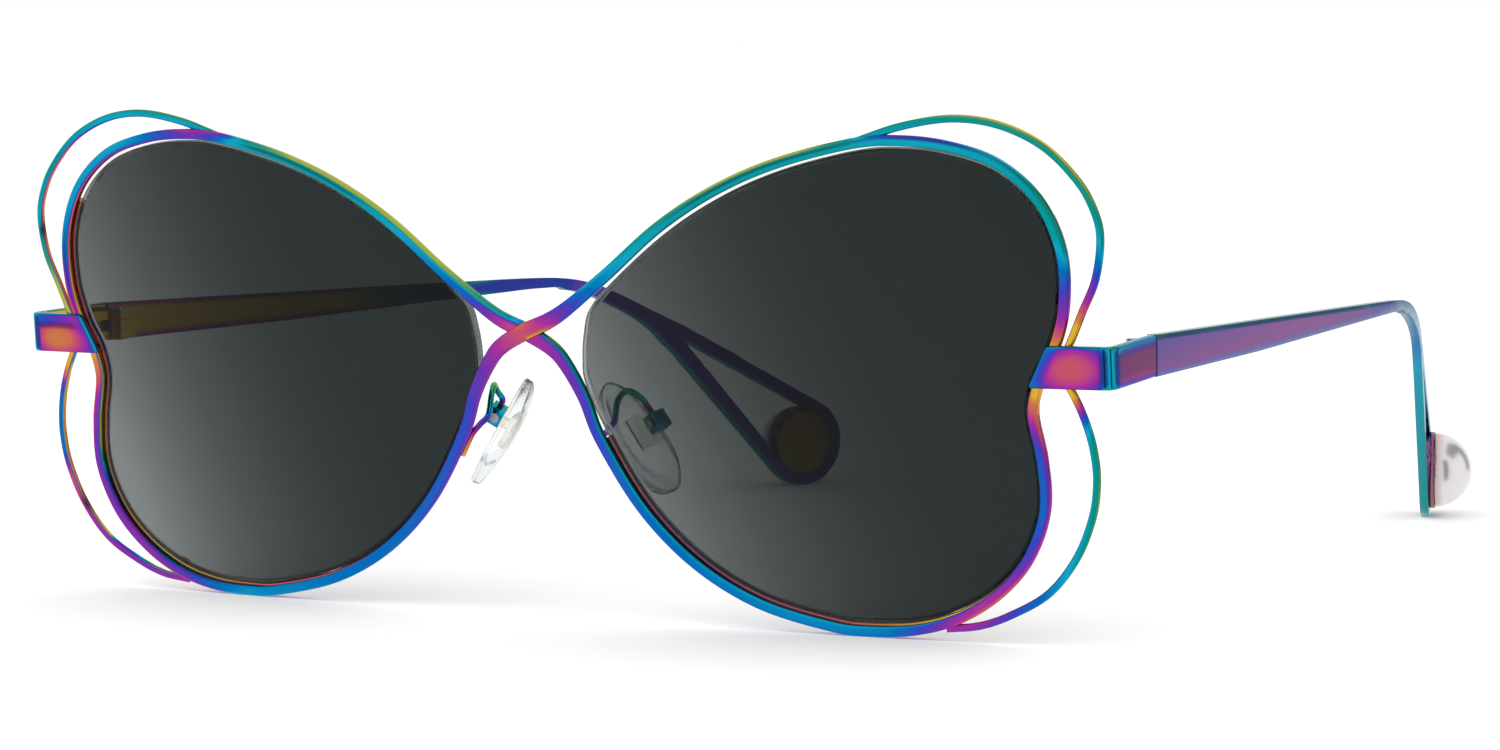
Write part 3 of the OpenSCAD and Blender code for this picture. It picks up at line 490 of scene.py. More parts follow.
def lens_path(indices, off, sign):
    at = [lens_line[i] + off * lens_sides[i] for i in indices]
    return ([(sign * p.x, sag(p.x, p.y) + GROOVE_Y, p.y) for p in at],
            [(sign * lens_sides[i].x, 0, lens_sides[i].y) for i in indices])


def eye_rule(co, normal, run, cut):
    # A little painted shade and painted duller reflection all along the eyewire.
    return 0.16 + 0.12 * math.sin(run * 9) + 0.1 * cut.y, 0.1, 0.1


for hand, sign in (("left", 1), ("right", -1)):
    indices = range(eye_start, eye_end + 1)
    path, side = lens_path(indices, EYE_OFF, sign)
    n = len(path)
    eyewire = wire("eyewire_%s_look" % hand, path, side, [(0, 1, 0)] * n, [EYE_SECTION[0] / 2] * n,
                   [EYE_SECTION[1]] * n, EYE_SECTION, EYE_EDGE, plated_metal, [i / n for i in range(n)],
                   eye_rule)
    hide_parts("eyewire_" + hand)
    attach(eyewire, "front")

# Lenses
# Grey-green tinted lenses, 1.8 mm thick, with a slight bulge of their own, a bevelled edge and
# a groove round it. They let through about a twentieth of the light and mirror the room softly.
# A painted sheen makes each lens lighter towards the wearer's right and the bottom.


def glassy(name, colour, ior, roughness, shadow):
    """A clear or tinted body that also lets a share of the light through into its shadow."""
    material = bpy.data.materials.new(name)
    material.use_nodes = True
    tree = material.node_tree
    tree.nodes.clear()
    body = add(tree, "ShaderNodeBsdfPrincipled", (("Base Color", colour), ("IOR", ior),
               ("Roughness", roughness), ("Transmission Weight", 1.0)))
    clear = add(tree, "ShaderNodeBsdfTransparent", (("Color", (shadow, shadow, shadow, 1)),))
    ray = add(tree, "ShaderNodeLightPath").outputs["Is Shadow Ray"]
    mixed = add(tree, "ShaderNodeMixShader", ((0, ray), (1, body.outputs[0]), (2, clear.outputs[0])))
    add(tree, "ShaderNodeOutputMaterial", (("Surface", mixed.outputs[0]),))
    return material


def tinted(name):
    """Tinted plastic, deeper in colour where its lens attribute nears 1 and clear where it is 0. Across each
    lens that attribute runs as a painted sheen, lighter towards the wearer's right and the bottom.
    """
    material = glassy(name, (0.05, 0.056, 0.054, 1), 1.22, 0.02, 0.55)
    tree = material.node_tree
    body = tree.nodes["Principled BSDF"]
    tint_with_painted_sheen = add(tree, "ShaderNodeAttribute", attribute_name="tint_with_painted_sheen")
    shades = ((0, 0.95, 1), (0.05, 0.19, 0.9), (0.1, 0.15, 0.9), (0.19, 0.1, 0.88), (0.29, 0.065, 0.86),
              (0.4, 0.042, 0.82), (0.5, 0.03, 0.78), (0.63, 0.023, 0.72), (1, 0.02, 0.7))
    run = colour_run(tree, tint_with_painted_sheen.outputs["Fac"], [(p, (red * s, s, 0.98 * s, 1)) for p, s, red in shades])
    tree.links.new(run, body.inputs["Base Color"])
    return material


lens_tint = tinted("tinted_polycarbonate")


def rings_mesh(name, rings, first, last, material):
    """A closed body from rings of points, closed by a fan at its first and last middle point."""
    n = len(rings[0])
    points = [first] + [p for ring in rings for p in ring] + [last]
    end = len(points) - 1
    faces = [(0, 1 + (i + 1) % n, 1 + i) for i in range(n)]
    for r in range(len(rings) - 1):
        low, high = 1 + r * n, 1 + (r + 1) * n
        faces += [(low + i, low + (i + 1) % n, high + (i + 1) % n, high + i) for i in range(n)]
    low = 1 + (len(rings) - 1) * n
    faces += [(low + i, low + (i + 1) % n, end) for i in range(n)]
    mesh = bpy.data.meshes.new(name)
    mesh.from_pydata([tuple(p) for p in points], [], faces)
    mesh.materials.append(material)
    outward(mesh)
    mesh.shade_smooth()
    return mesh


LENS_BULGE, LENS_MIDDLE, LENS_HALF = 0.75, Vector((36.5, 0.5)), Vector((29, 27))
EDGE_RINGS = range(9, 15)


def lens_mesh(name, sign):
    def ring(share, inset_by, y, bulge):
        points = []
        for p, s in zip(lens_line, lens_sides):
            q = LENS_MIDDLE + (p - inset_by * s - LENS_MIDDLE) * share
            points.append((sign * q.x, sag(q.x, q.y) + GROOVE_Y + y - bulge * (1 - share * share), q.y))
        return points

    shares = [0.08, 0.2, 0.35, 0.5, 0.65, 0.8, 0.9, 0.96]
    rings = [ring(s, 0.15, -0.9, LENS_BULGE) for s in shares] + [ring(1, 0.15, -0.9, 0)]
    rings += [ring(1, i, y, 0) for i, y in ((0, -0.75), (0, -0.3), (0.5, -0.28), (0.5, 0.28), (0, 0.3),
                                            (0, 0.75), (0.15, 0.9))]
    rings += [ring(s, 0.15, 0.9, LENS_BULGE) for s in shares[::-1]]
    x, z = LENS_MIDDLE
    near = sag(x, z) + GROOVE_Y - LENS_BULGE
    return rings_mesh(name, rings, (sign * x, near - 0.9, z), (sign * x, near + 0.9, z), lens_tint)


for hand, sign in (("left", 1), ("right", -1)):
    mesh = lens_mesh("lens_%s_look" % hand, sign)
    mesh.set_sharp_from_angle(angle=math.radians(30))
    tint_with_painted_sheen = mesh.attributes.new("tint_with_painted_sheen", "FLOAT", "POINT")
    round_edge = len(lens_line)
    for i, v in enumerate(mesh.vertices):
        ring, place = divmod(i - 1, round_edge)
        in_eyewire = 0.03 if eye_start <= place <= eye_end else 0
        # Painted sheen: each lens is made lighter towards the wearer's right and its bottom.
        painted_sheen_gradient = 0.5 + ((v.co.x - sign * LENS_MIDDLE.x) / LENS_HALF.x + 0.42 * v.co.z / LENS_HALF.y) / 2.4
        tint_with_painted_sheen.data[i].value = in_eyewire if ring in EDGE_RINGS else max(0.05, painted_sheen_gradient)
    mesh.transform(front_place @ Matrix.Scale(MM, 4))
    lens = link("lens_%s_look" % hand, mesh)
    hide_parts("lens_" + hand)
    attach(lens, "front")

# Nylon cords
# A clear nylon line ties each lens along its upper edge. It lies in the lens groove, and half
# of it stands out, so that it shows as a pale thread between lens and wire.
CORD_SECTION, CORD_OFF, CORD_EDGE = (0.59, 0.54), -0.175, 0.26
clear_nylon = glassy("clear_nylon", (0.97, 0.98, 0.98, 1), 1.3, 0.35, 0.9)
for hand, sign in (("left", 1), ("right", -1)):
    indices = list(range(eye_end, len(lens_line))) + list(range(0, eye_start + 1))
    path, side = lens_path(indices, CORD_OFF, sign)
    n = len(path)
    cord = wire("nylon_%s_look" % hand, path, side, [(0, 1, 0)] * n, [CORD_SECTION[0] / 2] * n,
                [CORD_SECTION[1]] * n, CORD_SECTION, CORD_EDGE, clear_nylon, [0] * n,
                lambda *place: (0, 0, 0))
    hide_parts("nylon_cord_" + hand)
    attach(cord, "front")

# End pieces
# Pressed steel plates brazed on the rim wires. Each starts with a slanted edge beside the lens,
# turns the corner with a tight bend and runs back to the hinge seam.
PLATE_THICK, PLATE_PROUD, CORNER_RADIUS, SEAM_X, SEAM_BACK = 1.1, 0.6, 1.4, 73.4, 15.2
BAR_SLANT, PLATE_TURN = math.radians(5.6), math.radians(2.7)
PLATE_TOP, PLATE_HEIGHT, SEAM_TOP, SEAM_LOW = 4.15, 4.75, 3.744, -0.944
PLATE_START, BOW_END, SEAM_GAP = 65.25, 66.6, 0.05
FACE_STEPS, BEND_STEPS, BAR_STEPS = 24, 14, 36


def end_piece_path():
    """Points on the plate's middle line in plan, with the way inwards and the bend's share."""
    face_y = sag(BOW_END) - PLATE_PROUD
    corner_back = face_y - math.tan(PLATE_TURN) * BOW_END + CORNER_RADIUS / math.cos(PLATE_TURN)
    x = ((SEAM_X + math.tan(BAR_SLANT) * (SEAM_BACK - corner_back) - CORNER_RADIUS / math.cos(BAR_SLANT))
         / (1 + math.tan(BAR_SLANT) * math.tan(PLATE_TURN)))
    corner = Vector((x, corner_back + math.tan(PLATE_TURN) * x))
    points = []
    for i in range(FACE_STEPS):
        u = PLATE_START + (corner.x - PLATE_START) * i / FACE_STEPS
        y = sag(min(u, BOW_END)) + math.tan(PLATE_TURN) * max(u - BOW_END, 0) - PLATE_PROUD
        points.append((Vector((u, y + PLATE_THICK / 2)), Vector((0, 1)), -(corner.x - u)))
    for i in range(BEND_STEPS + 1):
        a = PLATE_TURN - math.pi / 2 + (BAR_SLANT + math.pi / 2 - PLATE_TURN) * i / BEND_STEPS
        way = Vector((-math.cos(a), -math.sin(a)))
        points.append((corner - (CORNER_RADIUS - PLATE_THICK / 2) * way, way, i / BEND_STEPS))
    last = points[-1][0]
    bar = Vector((-math.tan(BAR_SLANT), 1)) * (SEAM_BACK - SEAM_GAP - last.y)
    for i in range(1, BAR_STEPS + 1):
        points.append((last + bar * i / BAR_STEPS, way, 1 + bar.length * i / BAR_STEPS))
    return points, corner


plan, corner = end_piece_path()


def plate_rule(sign):
    """Warm in the middle of the face, violet and blue towards its edges, cyan round the bend as a painted
    highlight between painted dark reflection bands; painted shade and dark reflection lines on the faces,
    painted shade down the side plate and in the seam.
    """
    def rule(co, normal, run, cut):
        v, u = cut.x / (PLATE_HEIGHT / 2), run - plan[0][2]
        if run < 0 and sign > 0:
            off = math.hypot((u - 4.3) / 3.7, v + 0.05)
            value = along([(0, .17), (.5, .2), (.85, .3), (1.1, .44), (1.3, .56)], off)
            value += 0.3 * soft(0.84, 1, v)
            value += (0.66 - value) * (1 - soft(0.5, 1.9, u))
            # Painted shade along the lower edge and a painted dark reflection band just before the bend.
            return value, 0.3 * soft(0.9, 1, -v) + 0.5 * soft(-0.5, -0.1, run), 0
        if run < 0:
            off = math.hypot((u - 4.7) / 3.5, (v + 0.2) / 0.95)
            value = along([(0, .08), (.5, .11), (.9, .26), (1.1, .34), (1.4, .5)], off)
            above = soft(0.3, 0.45, v)
            value += (along([(0, .32), (3.5, .4), (7.5, .56)], u) - value) * above
            value += 0.3 * soft(0.9, 1, v)
            value += (0.73 - value) * (1 - soft(0.5, 1.2, u))
            # A painted dark reflection line across the upper face.
            return value, 0.8 * math.exp(-((v - 0.4) / 0.11) ** 2) * soft(1, 2, u), 0
        if run < 1:
            # Round the bend the film is turned cyan as a painted highlight, between painted dark reflection
            # bands.
            value = along([(0, .56), (.2, .6), (.34, .7), (.6, .73), (.75, .62), (.9, .5), (1, .42)], run)
            dark = along([(0, .5), (.2, .5), (.34, 0), (.55, 0), (.72, .65), (.88, .5), (1, .35)], run)
            return value + 0.16 * soft(0.75, 1, abs(v)), dark * (1 - soft(0.7, 1, abs(v))), 0
        # Side plate: a little painted shade on the hidden inner face; on the outer face painted shade down
        # the middle and deep painted shade in the seam gap at its end.
        far = run - 1
        if normal.x * sign < -0.5:
            return 1.0, 0.12, 0
        value = along([(0, .42), (1.2, .31), (6, .27), (11, .28)], far)
        value += 0.4 * soft(0.3, 0.9, v) + 0.24 * soft(0.62, 0.98, -v)
        dark = 0.42 * (1 - soft(0.4, 0.9, abs(v))) + 0.15
        return value, max(dark, 0.9 * soft(11.05, 11.3, far)), 0
    return rule


for hand, sign in (("left", 1), ("right", -1)):
    path, side, deep, half, thick, run = [], [], [], [], [], []
    for i, (p, way, share) in enumerate(plan):
        slant = 0.526 * (1 - soft(65.5, 71, p.x)) if share < 0 else 0
        linear = max(0, (p.y - corner.y) / (SEAM_BACK - corner.y))
        top = PLATE_TOP + (SEAM_TOP - PLATE_TOP) * linear
        low = PLATE_TOP - PLATE_HEIGHT + (SEAM_LOW - PLATE_TOP + PLATE_HEIGHT) * linear
        path.append((sign * p.x, p.y, (top + low) / 2))
        side.append((sign * slant, math.tan(math.radians(front_lean)) * linear, 1))
        deep.append((sign * way.x, way.y, 0))
        half.append((top - low) / 2)
        thick.append(PLATE_THICK)
        run.append(share)
    for i, (less, back_off) in enumerate(((0.4, 0.0), (0.2, 0.07), (0.07, 0.19), (0.01, 0.36))):
        half[i] -= less
        thick[i] -= less * 2
        path[i] = (path[0][0] + sign * back_off, path[i][1], path[i][2])
    plate = wire("end_piece_%s_look" % hand, path, side, deep, half, thick, (PLATE_HEIGHT, PLATE_THICK), 0.3,
                 plated_metal, run, plate_rule(sign), 11)
    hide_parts("end_piece_" + hand)
    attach(plate, "front")

# Hinges
# Two milled leaves with interlocking knuckles on a slotted steel screw, brazed inside the end
# piece and the temple. Their shapes are the CAD's own.


def solid(name, colour, roughness):
    """A metal whose gloss is a little uneven."""
    material = bpy.data.materials.new(name)
    material.use_nodes = True
    tree = material.node_tree
    tree.nodes.clear()
    places = add(tree, "ShaderNodeTexCoord").outputs["Object"]
    uneven = add(tree, "ShaderNodeTexNoise", (("Vector", places), ("Scale", 900.0), ("Detail", 2.0)))
    rough = add(tree, "ShaderNodeMath", ((0, uneven.outputs[0]), (1, 0.08), (2, roughness - 0.04)),
                operation="MULTIPLY_ADD")
    body = add(tree, "ShaderNodeBsdfPrincipled",
               (("Base Color", colour), ("Metallic", 1.0), ("Roughness", rough.outputs[0])))
    add(tree, "ShaderNodeOutputMaterial", (("Surface", body.outputs[0]),))
    return material


def dress(node, material):
    data = frame["nodes"][node].data
    data.materials.clear()
    data.materials.append(material)


hinge_metal = solid("gold_plated_hinge_steel", srgb("#c8a636"), 0.3)
screw_steel = solid("screw_steel", (0.55, 0.54, 0.52, 1), 0.25)
for hand in ("left", "right"):
    dress("hinge_front_" + hand, hinge_metal)
    dress("hinge_temple_" + hand, hinge_metal)
    dress("hinge_screw_" + hand, screw_steel)

# Nose pad arms
# Round plated wires, brazed low on the eyewires' nose side. Each rises in a goose-neck loop
# behind the lens and comes down on the pad box, which it is brazed to.
ARM_D, ARM_LOOK = 0.9, 0.74
EYE_WIDTH, BOX = 0.95, Vector((1.8, 2.1, 2.2))
low_line = smooth(LOWER_HALF, 3)
low_sides = sides(low_line)


def foot_at(i):
    p = low_line[i]
    q = p + (ARM_D / 2 + SEAT + EYE_WIDTH - LENS_GAP - half_width(p)) * low_sides[i]
    return Vector((q.x, sag(q.x, q.y) + WIRE_DEPTH + ARM_D / 2 + SEAT, q.y))


frontal, splay = math.radians(34), math.radians(20)
box_top = pad_axis + (BOX.z / 2 + 0.05) * Vector((-math.sin(frontal), 0, math.cos(frontal)))
arm_points = [foot_at(35), foot_at(36) + Vector((0, 0.2, 0)), foot_at(36) + Vector((-0.25, 1.65, 1)),
              Vector((8.9, 4.9, -6.6)), Vector((8.9, 5.8, -4.4)), Vector((9.4, 7.2, -3.4)),
              box_top + Vector((-0.6, -1.4, 2)), box_top + Vector((-0.5, -0.3, 0.9)), box_top]


def arm_rule(co, normal, run, cut):
    return along([(0, 1.0), (.08, 1.1), (.2, 1.42), (.34, 1.5), (.45, 1.8), (.6, 1.9), (.8, 1.74), (.9, 1.3),
                  (1, 1.18)], run) + 0.08 * cut.y, 0, 0


for hand, sign in (("left", 1), ("right", -1)):
    line = smooth(arm_points, 12)
    n = len(line)
    ways = [(line[min(i + 1, n - 1)] - line[max(i - 1, 0)]).normalized() for i in range(n)]
    ones = [w.cross(Vector((1, 0.2, 0))).normalized() for w in ways]
    twos = [w.cross(o) for w, o in zip(ways, ones)]
    turn = Vector((sign, 1, 1))
    arm = wire("pad_arm_%s_look" % hand, [tuple(p * turn) for p in line], [tuple(o * turn) for o in ones],
               [tuple(o * turn) for o in twos], [ARM_LOOK / 2] * n, [ARM_LOOK] * n,
               (ARM_LOOK, ARM_LOOK), ARM_LOOK * 0.49, plated_metal, [i / (n - 1) for i in range(n)], arm_rule)
    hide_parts("pad_arm_" + hand)
    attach(arm, "front")

# Pad boxes
# Small folded steel boxes, plated like the frame, that hold the pad's tab between two walls.
# The shape is the CAD's with its edges broken.


def broken(node, name, edge, rule, material, prepare=None):
    """A copy of a CAD shape with rounded edges, painted face corner by face corner."""
    mesh = frame["nodes"][node].data.copy()
    shape = bmesh.new()
    shape.from_mesh(mesh)
    bmesh.ops.remove_doubles(shape, verts=shape.verts, dist=2e-6)
    bmesh.ops.dissolve_limit(shape, angle_limit=math.radians(0.5), verts=shape.verts, edges=shape.edges)
    if prepare:
        prepare(shape)
    shape.to_mesh(mesh)
    shape.free()
    mesh.materials.clear()
    mesh.materials.append(material)
    obj = link(name, mesh)
    mesh.shade_smooth()
    bevel = obj.modifiers.new("edges", "BEVEL")
    bevel.width = edge * MM
    bevel.segments = 2
    bevel.limit_method = "ANGLE"
    bevel.angle_limit = math.radians(40)
    bevel.harden_normals = True
    made = bpy.data.meshes.new_from_object(obj.evaluated_get(bpy.context.evaluated_depsgraph_get()))
    obj.modifiers.remove(bevel)
    obj.data = made
    normals = [Vector(n.vector) for n in made.corner_normals]
    height = [d.value for d in made.attributes["height"].data] if "height" in made.attributes else None
    film = made.attributes.new("film", "FLOAT_VECTOR", "CORNER")
    for loop in made.loops:
        i = loop.vertex_index
        up_by = height[i] if height else 0
        film.data[loop.index].vector = rule(made.vertices[i].co, normals[loop.index], up_by)
    return obj


def box_rule(co, normal, height):
    return 0.76 + 0.12 * normal.z - 0.1 * normal.x, 0, 0


for hand in ("left", "right"):
    box = broken("pad_box_" + hand, "pad_box_%s_look" % hand, 0.18, box_rule, plated_metal)
    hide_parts("pad_box_" + hand)
    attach(box, "front")
    dress("pad_screw_" + hand, screw_steel)

# Pad inserts and nose pads
# A clear hard core with a tab for the screw is moulded into each pad. The pads are clear
# silicone, teardrop shaped, crowned on the side of the nose and soft at the rim.
clear_core = glassy("clear_polycarbonate", (0.86, 0.85, 0.78, 1), 1.45, 0.12, 0.8)
for hand in ("left", "right"):
    dress("pad_insert_" + hand, clear_core)
clear_silicone = glassy("clear_silicone", (0.9, 0.93, 0.93, 1), 1.41, 0.16, 0.8)
PAD_H, PAD_W, PAD_T, PAD_BACK, PAD_AHEAD, PAD_DROP, CROWN = 7.5, 3.5, 2.2, 1.2, 2.2, 0.5, 28
teardrop = smooth([(0, PAD_H), (0.62 * PAD_W, 0.72 * PAD_H), (0.95 * PAD_W, 0.05 * PAD_H),
                   (0.9 * PAD_W, -0.5 * PAD_H), (0.5 * PAD_W, -0.9 * PAD_H), (0, -PAD_H),
                   (-0.5 * PAD_W, -0.9 * PAD_H), (-0.9 * PAD_W, -0.5 * PAD_H), (-0.95 * PAD_W, 0.05 * PAD_H),
                   (-0.62 * PAD_W, 0.72 * PAD_H)], 8, closed=True)
on_pad = (Matrix.Translation(pad_axis) @ Matrix.Rotation(-frontal, 4, "Y") @ Matrix.Rotation(-splay, 4, "Z"))
for hand, sign in (("left", 1), ("right", -1)):
    def pad_ring(share, x):
        ring = []
        for p in teardrop:
            q = p * share
            crown = CROWN - math.sqrt(CROWN * CROWN - q.length_squared)
            ring.append((min(x + crown, -PAD_BACK - 0.3) if x < -PAD_BACK - 0.8 else x, q.x - PAD_AHEAD,
                         q.y - PAD_DROP))
        return ring

    face = -PAD_BACK - PAD_T
    rings = [pad_ring(s, face) for s in (0.15, 0.4, 0.65, 0.82, 0.9)]
    rings += [pad_ring(s, face + d) for s, d in ((0.95, 0.06), (0.985, 0.2))]
    rings += [pad_ring(s, -PAD_BACK - d) for s, d in ((1, 0.45), (1, 0.25), (0.985, 0.1), (0.95, 0), (0.6, 0),
                                                      (0.25, 0))]
    mesh = rings_mesh("nose_pad_%s_look" % hand, rings, (face, -PAD_AHEAD, -PAD_DROP),
                      (-PAD_BACK, -PAD_AHEAD, -PAD_DROP), clear_silicone)
    mesh.transform(Matrix.Diagonal((sign, 1, 1, 1)) @ on_pad)
    if sign < 0:
        mesh.flip_normals()
    mesh.transform(front_place @ Matrix.Scale(MM, 4))
    pad = link("nose_pad_%s_look" % hand, mesh)
    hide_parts("nose_pad_" + hand)
    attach(pad, "pad_" + hand)

# Temples
# Flat plated steel strips, cut on edge. They taper to the ear bend, split into two strands and
# close round a loop, with their edges softly broken. Outside mauve, greyed by a painted duller
# reflection; inside gold, darkened to olive brown by painted shade.


FIRST_CUT, SECOND_CUT, CUT_STEP, CUTS, EDGE_BAND = 0.0005, 0.004, 0.005, 16, 0.0007


def cut_strip(shape):
    """Cuts the strip across every 5 mm and along near its edges, so that it can take colours."""
    low = min(v.co.y for v in shape.verts)
    marks = [low + FIRST_CUT] + [low + SECOND_CUT + CUT_STEP * i for i in range(CUTS)]
    for y in marks:
        bmesh.ops.bisect_plane(shape, geom=shape.verts[:] + shape.edges[:] + shape.faces[:],
                               plane_co=(0, y, 0), plane_no=(0, 1, 0))
    ends = []
    for y in marks:
        z = [v.co.z for v in shape.verts if abs(v.co.y - y) < 1e-6]
        ends.append((y, min(z), max(z)))
    for k, off in ((1, EDGE_BAND), (2, -EDGE_BAND)):
        slope = (ends[-1][k] - ends[0][k]) / (marks[-1] - marks[0])
        broad = [f for f in shape.faces if abs(f.normal.x) > 0.8 and f.calc_center_median().y < marks[-1]]
        lines = {e for f in broad for e in f.edges}
        corners = {v for f in broad for v in f.verts}
        bmesh.ops.bisect_plane(shape, geom=broad + list(lines) + list(corners),
                               plane_co=(0, marks[0], ends[0][k] + off), plane_no=(0, -slope, 1))
    height = shape.verts.layers.float.new("height")
    for v in shape.verts:
        bottom, top = (along([(e[0], e[k]) for e in ends], v.co.y) for k in (1, 2))
        v[height] = 2 * (v.co.z - bottom) / (top - bottom) - 1


def temple_rule(sign, seam_y):
    def rule(co, normal, height):
        y, z, out = (co.y - seam_y) / MM, co.z / MM, normal.x * sign
        # Ear loop: painted shade on the inner and back faces; elsewhere a little painted shade and a painted
        # duller reflection that fades past the bend.
        if y > 92:
            value = along([(8, .79), (20, .76), (26, .64), (30, .68)], z)
            if out < -0.5 or normal.y > 0.5:
                return 0.45, 0.35, 0.1
            return value, 0.05, along([(92, .4), (108, .1)], y)
        # Inner face: gold film darkened to olive brown as painted shade, deeper towards the ear and at its
        # edges.
        if out < -0.5:
            value = along([(0, 1), (45, 1), (65, .5), (92, .55)], y)
            tip = soft(0.75, 1, abs(height)) * (1 - soft(70, 79, y))
            return value + 0.38 * tip, along([(0, .1), (45, .12), (65, .45), (92, .5)], y) + 0.3 * tip, 0
        value = along([(0, .34), (55, .35), (75, .4), (88, .66)], y)
        if y < 80:
            value += (0.8 - value) * soft(0.55, 1, height) + (0.62 - value) * soft(0.62, 1, -height)
        # Outer face: greyed as a painted duller reflection, with painted shade that is deepest at the hinge
        # seam.
        grey = along([(0, .28), (70, .36), (92, .42)], y)
        return value, 0.1 + 0.5 * (1 - soft(0, 0.4, y)), grey
    return rule


for hand, sign in (("left", 1), ("right", -1)):
    seam_y = joint["temple_%s_fold" % hand]["pos_m"][1]
    temple = broken("temple_" + hand, "temple_%s_look" % hand, 0.16, temple_rule(sign, seam_y), plated_metal,
                    cut_strip)
    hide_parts("temple_" + hand)
    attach(temple, "temple_" + hand)

# Pearl trays
# A turned disc with a flange and a peg, soldered into each loop. It carries the pearl.


def tray_rule(co, normal, height):
    # The disc's faces: gold film darkened to olive by painted shade. Its rims: pink film greyed by a painted
    # duller reflection, with a little painted shade.
    if abs(normal.x) > 0.6:
        return 1.0 + 0.1 * normal.z, 0.5, 0.2
    return 0.24 + 0.1 * normal.z, 0.15, 0.45


for hand in ("left", "right"):
    tray = broken("pearl_tray_" + hand, "pearl_tray_%s_look" % hand, 0.12, tray_rule, plated_metal)
    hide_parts("pearl_tray_" + hand)
    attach(tray, "temple_" + hand)

# Pearls
# Moulded imitation pearls, 10 mm across, pressed on the trays' pegs. Their silvery lacquer
# mirrors the room. Towards the tray they are painted darker and pink, as painted shade and a
# painted reflection of the tray.
PEARL_RADIUS = 5


def pearl_material():
    material = bpy.data.materials.new("pearl_lacquer")
    material.use_nodes = True
    tree = material.node_tree
    tree.nodes.clear()
    film = add(tree, "ShaderNodeAttribute", attribute_name="film")
    parts = add(tree, "ShaderNodeSeparateXYZ", ((0, film.outputs["Vector"]),)).outputs
    # Pink and darker at 0, by the tray: painted shade and a painted reflection of the tray.
    tone = colour_run(tree, parts[0], [(0, srgb("#bc8e8e")), (0.14, srgb("#c8acac")), (0.34, srgb("#e2dcde")),
                                       (1, srgb("#e8e4e6"))])
    body = add(tree, "ShaderNodeBsdfPrincipled", (("Base Color", tone), ("Metallic", 0.92),
               ("Roughness", 0.26), ("Coat Weight", 0.2), ("Coat Roughness", 0.2)))
    add(tree, "ShaderNodeOutputMaterial", (("Surface", body.outputs[0]),))
    return material


pearl_lacquer = pearl_material()


def middle_of(node):
    points = [v.co for v in frame["nodes"][node].data.vertices]
    return sum(points, Vector()) / len(points)


def pearl_rule(foot, way):
    def rule(co, normal, height):
        # Measured from the tray, so that the painted shade and painted reflection of the tray sit next to it.
        return (co - foot).dot(way) / (PEARL_RADIUS * MM), 0, 0
    return rule


for hand in ("left", "right"):
    foot = middle_of("pearl_tray_" + hand)
    way = (middle_of("pearl_" + hand) - foot).normalized()
    pearl = broken("pearl_" + hand, "pearl_%s_look" % hand, 0.1, pearl_rule(foot, way), pearl_lacquer)
    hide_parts("pearl_" + hand)
    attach(pearl, "temple_" + hand)

# Studio
# A large white floor and an even white surround, one soft lamp from above and in front. Cards
# that only the gloss sees add dark lines to the metal, beside the painted ones, and give the pearls
# their grey marks.
floor_material = bpy.data.materials.new("white_floor")
floor_material.use_nodes = True
floor_body = floor_material.node_tree.nodes["Principled BSDF"]
floor_body.inputs["Base Color"].default_value = (0.96, 0.96, 0.96, 1)
floor_body.inputs["Roughness"].default_value = 1.0
floor_body.inputs["Specular IOR Level"].default_value = 0.0
floor_mesh = bpy.data.meshes.new("floor")
floor_mesh.from_pydata([(-4, -4, 0), (4, -4, 0), (4, 4, 0), (-4, 4, 0)], [], [(0, 1, 2, 3)])
floor_mesh.materials.append(floor_material)
floor = link("floor", floor_mesh)
floor.visible_glossy = False
lamp = bpy.data.objects.new("soft_lamp", bpy.data.lights.new("soft_lamp", "AREA"))
lamp.data.size = 0.7
lamp.data.energy = 1.2
lamp.visible_glossy = False
lamp.location = (-0.25, -0.35, 0.7)
lamp.rotation_euler = (Vector((0, 0, 0)) - lamp.location).to_track_quat("-Z", "Y").to_euler()
bpy.context.scene.collection.objects.link(lamp)


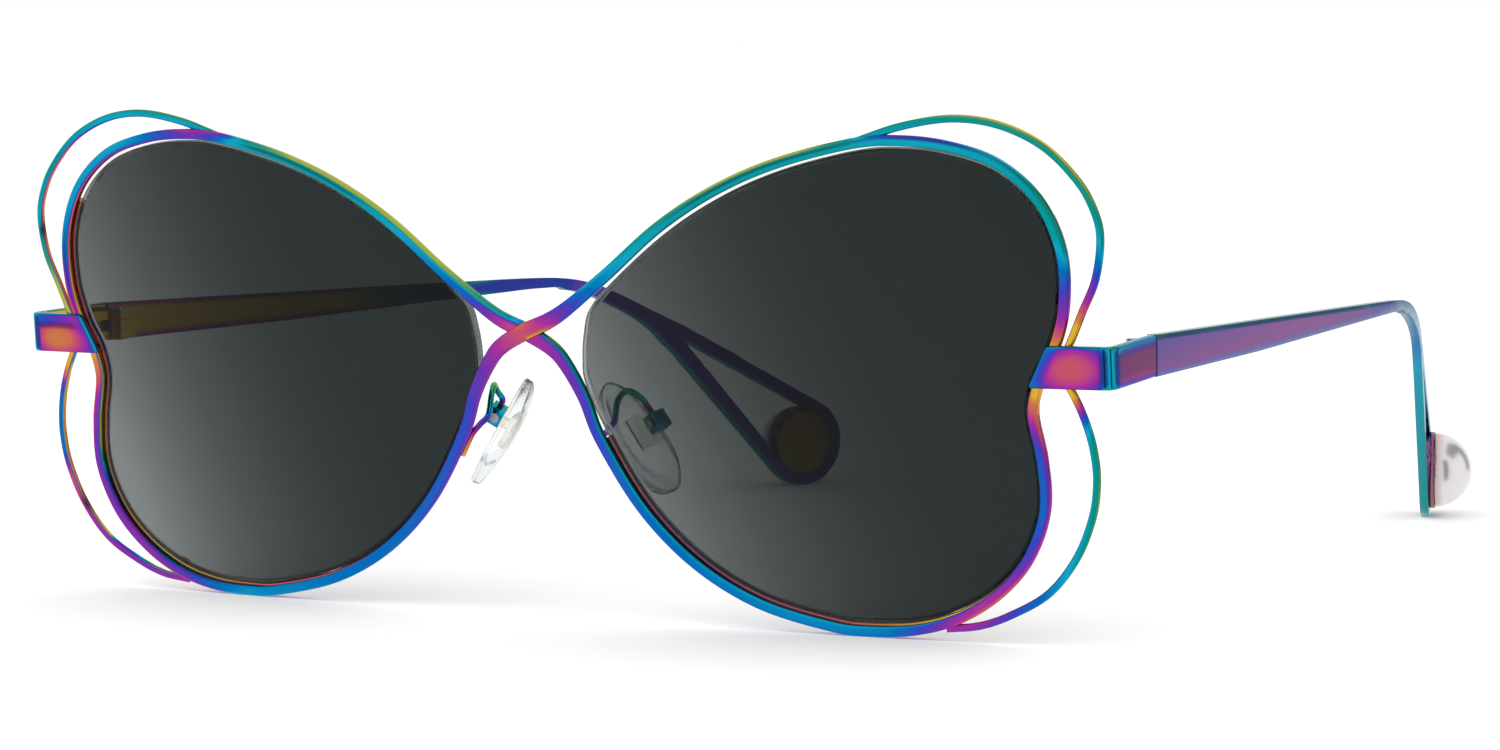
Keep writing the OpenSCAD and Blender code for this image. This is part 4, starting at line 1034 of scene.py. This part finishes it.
def unlit(name, tone):
    material = bpy.data.materials.new(name)
    material.use_nodes = True
    material.node_tree.nodes.clear()
    glow = add(material.node_tree, "ShaderNodeEmission", (("Color", (tone, tone, tone, 1)),))
    add(material.node_tree, "ShaderNodeOutputMaterial", (("Surface", glow.outputs[0]),))
    return material


dark_card, grey_card = unlit("dark_card", 0.02), unlit("grey_card", 0.3)


def card(name, turn, rise, wide, high, material=dark_card, away=1.6):
    """A card at this turn from the front towards the wearer's left, and this rise, in degrees."""
    mesh = bpy.data.meshes.new(name)
    w, h = (away * math.tan(math.radians(a / 2)) for a in (wide, high))
    mesh.from_pydata([(-w, -away, -h), (w, -away, -h), (w, -away, h), (-w, -away, h)], [], [(0, 1, 2, 3)])
    mesh.materials.append(material)
    mesh.transform(Matrix.Rotation(math.radians(turn), 4, "Z") @ Matrix.Rotation(math.radians(-rise), 4, "X"))
    obj = link(name, mesh)
    obj.visible_camera = obj.visible_diffuse = obj.visible_transmission = obj.visible_shadow = False
    return obj


cards = [card("card_left_of_camera", 4, 4, 11, 60), card("card_right_of_camera", 62, 4, 14, 60),
         card("card_above", -25, 50, 70, 12), card("card_behind", 118, 46, 46, 26, grey_card),
         card("card_far_behind", 150, 20, 22, 46, grey_card)]

world = bpy.data.worlds.new("studio")
bpy.context.scene.world = world
world.use_nodes = True
tree = world.node_tree
tree.nodes.clear()
rays = add(tree, "ShaderNodeLightPath").outputs
seen = add(tree, "ShaderNodeMath", ((0, rays["Is Camera Ray"]), (1, rays["Is Glossy Ray"])), operation="ADD")
seen = add(tree, "ShaderNodeMath", ((0, seen.outputs[0]), (1, rays["Is Transmission Ray"])), operation="ADD",
           use_clamp=True)
light = add(tree, "ShaderNodeBackground", (("Color", (1, 1, 1, 1)), ("Strength", 1.12)))
white = add(tree, "ShaderNodeBackground", (("Color", (1, 1, 1, 1)), ("Strength", 1.0)))
both = add(tree, "ShaderNodeMixShader", ((0, seen.outputs[0]), (1, light.outputs[0]), (2, white.outputs[0])))
add(tree, "ShaderNodeOutputWorld", (("Surface", both.outputs[0]),))
bpy.context.scene.view_settings.view_transform = "Standard"
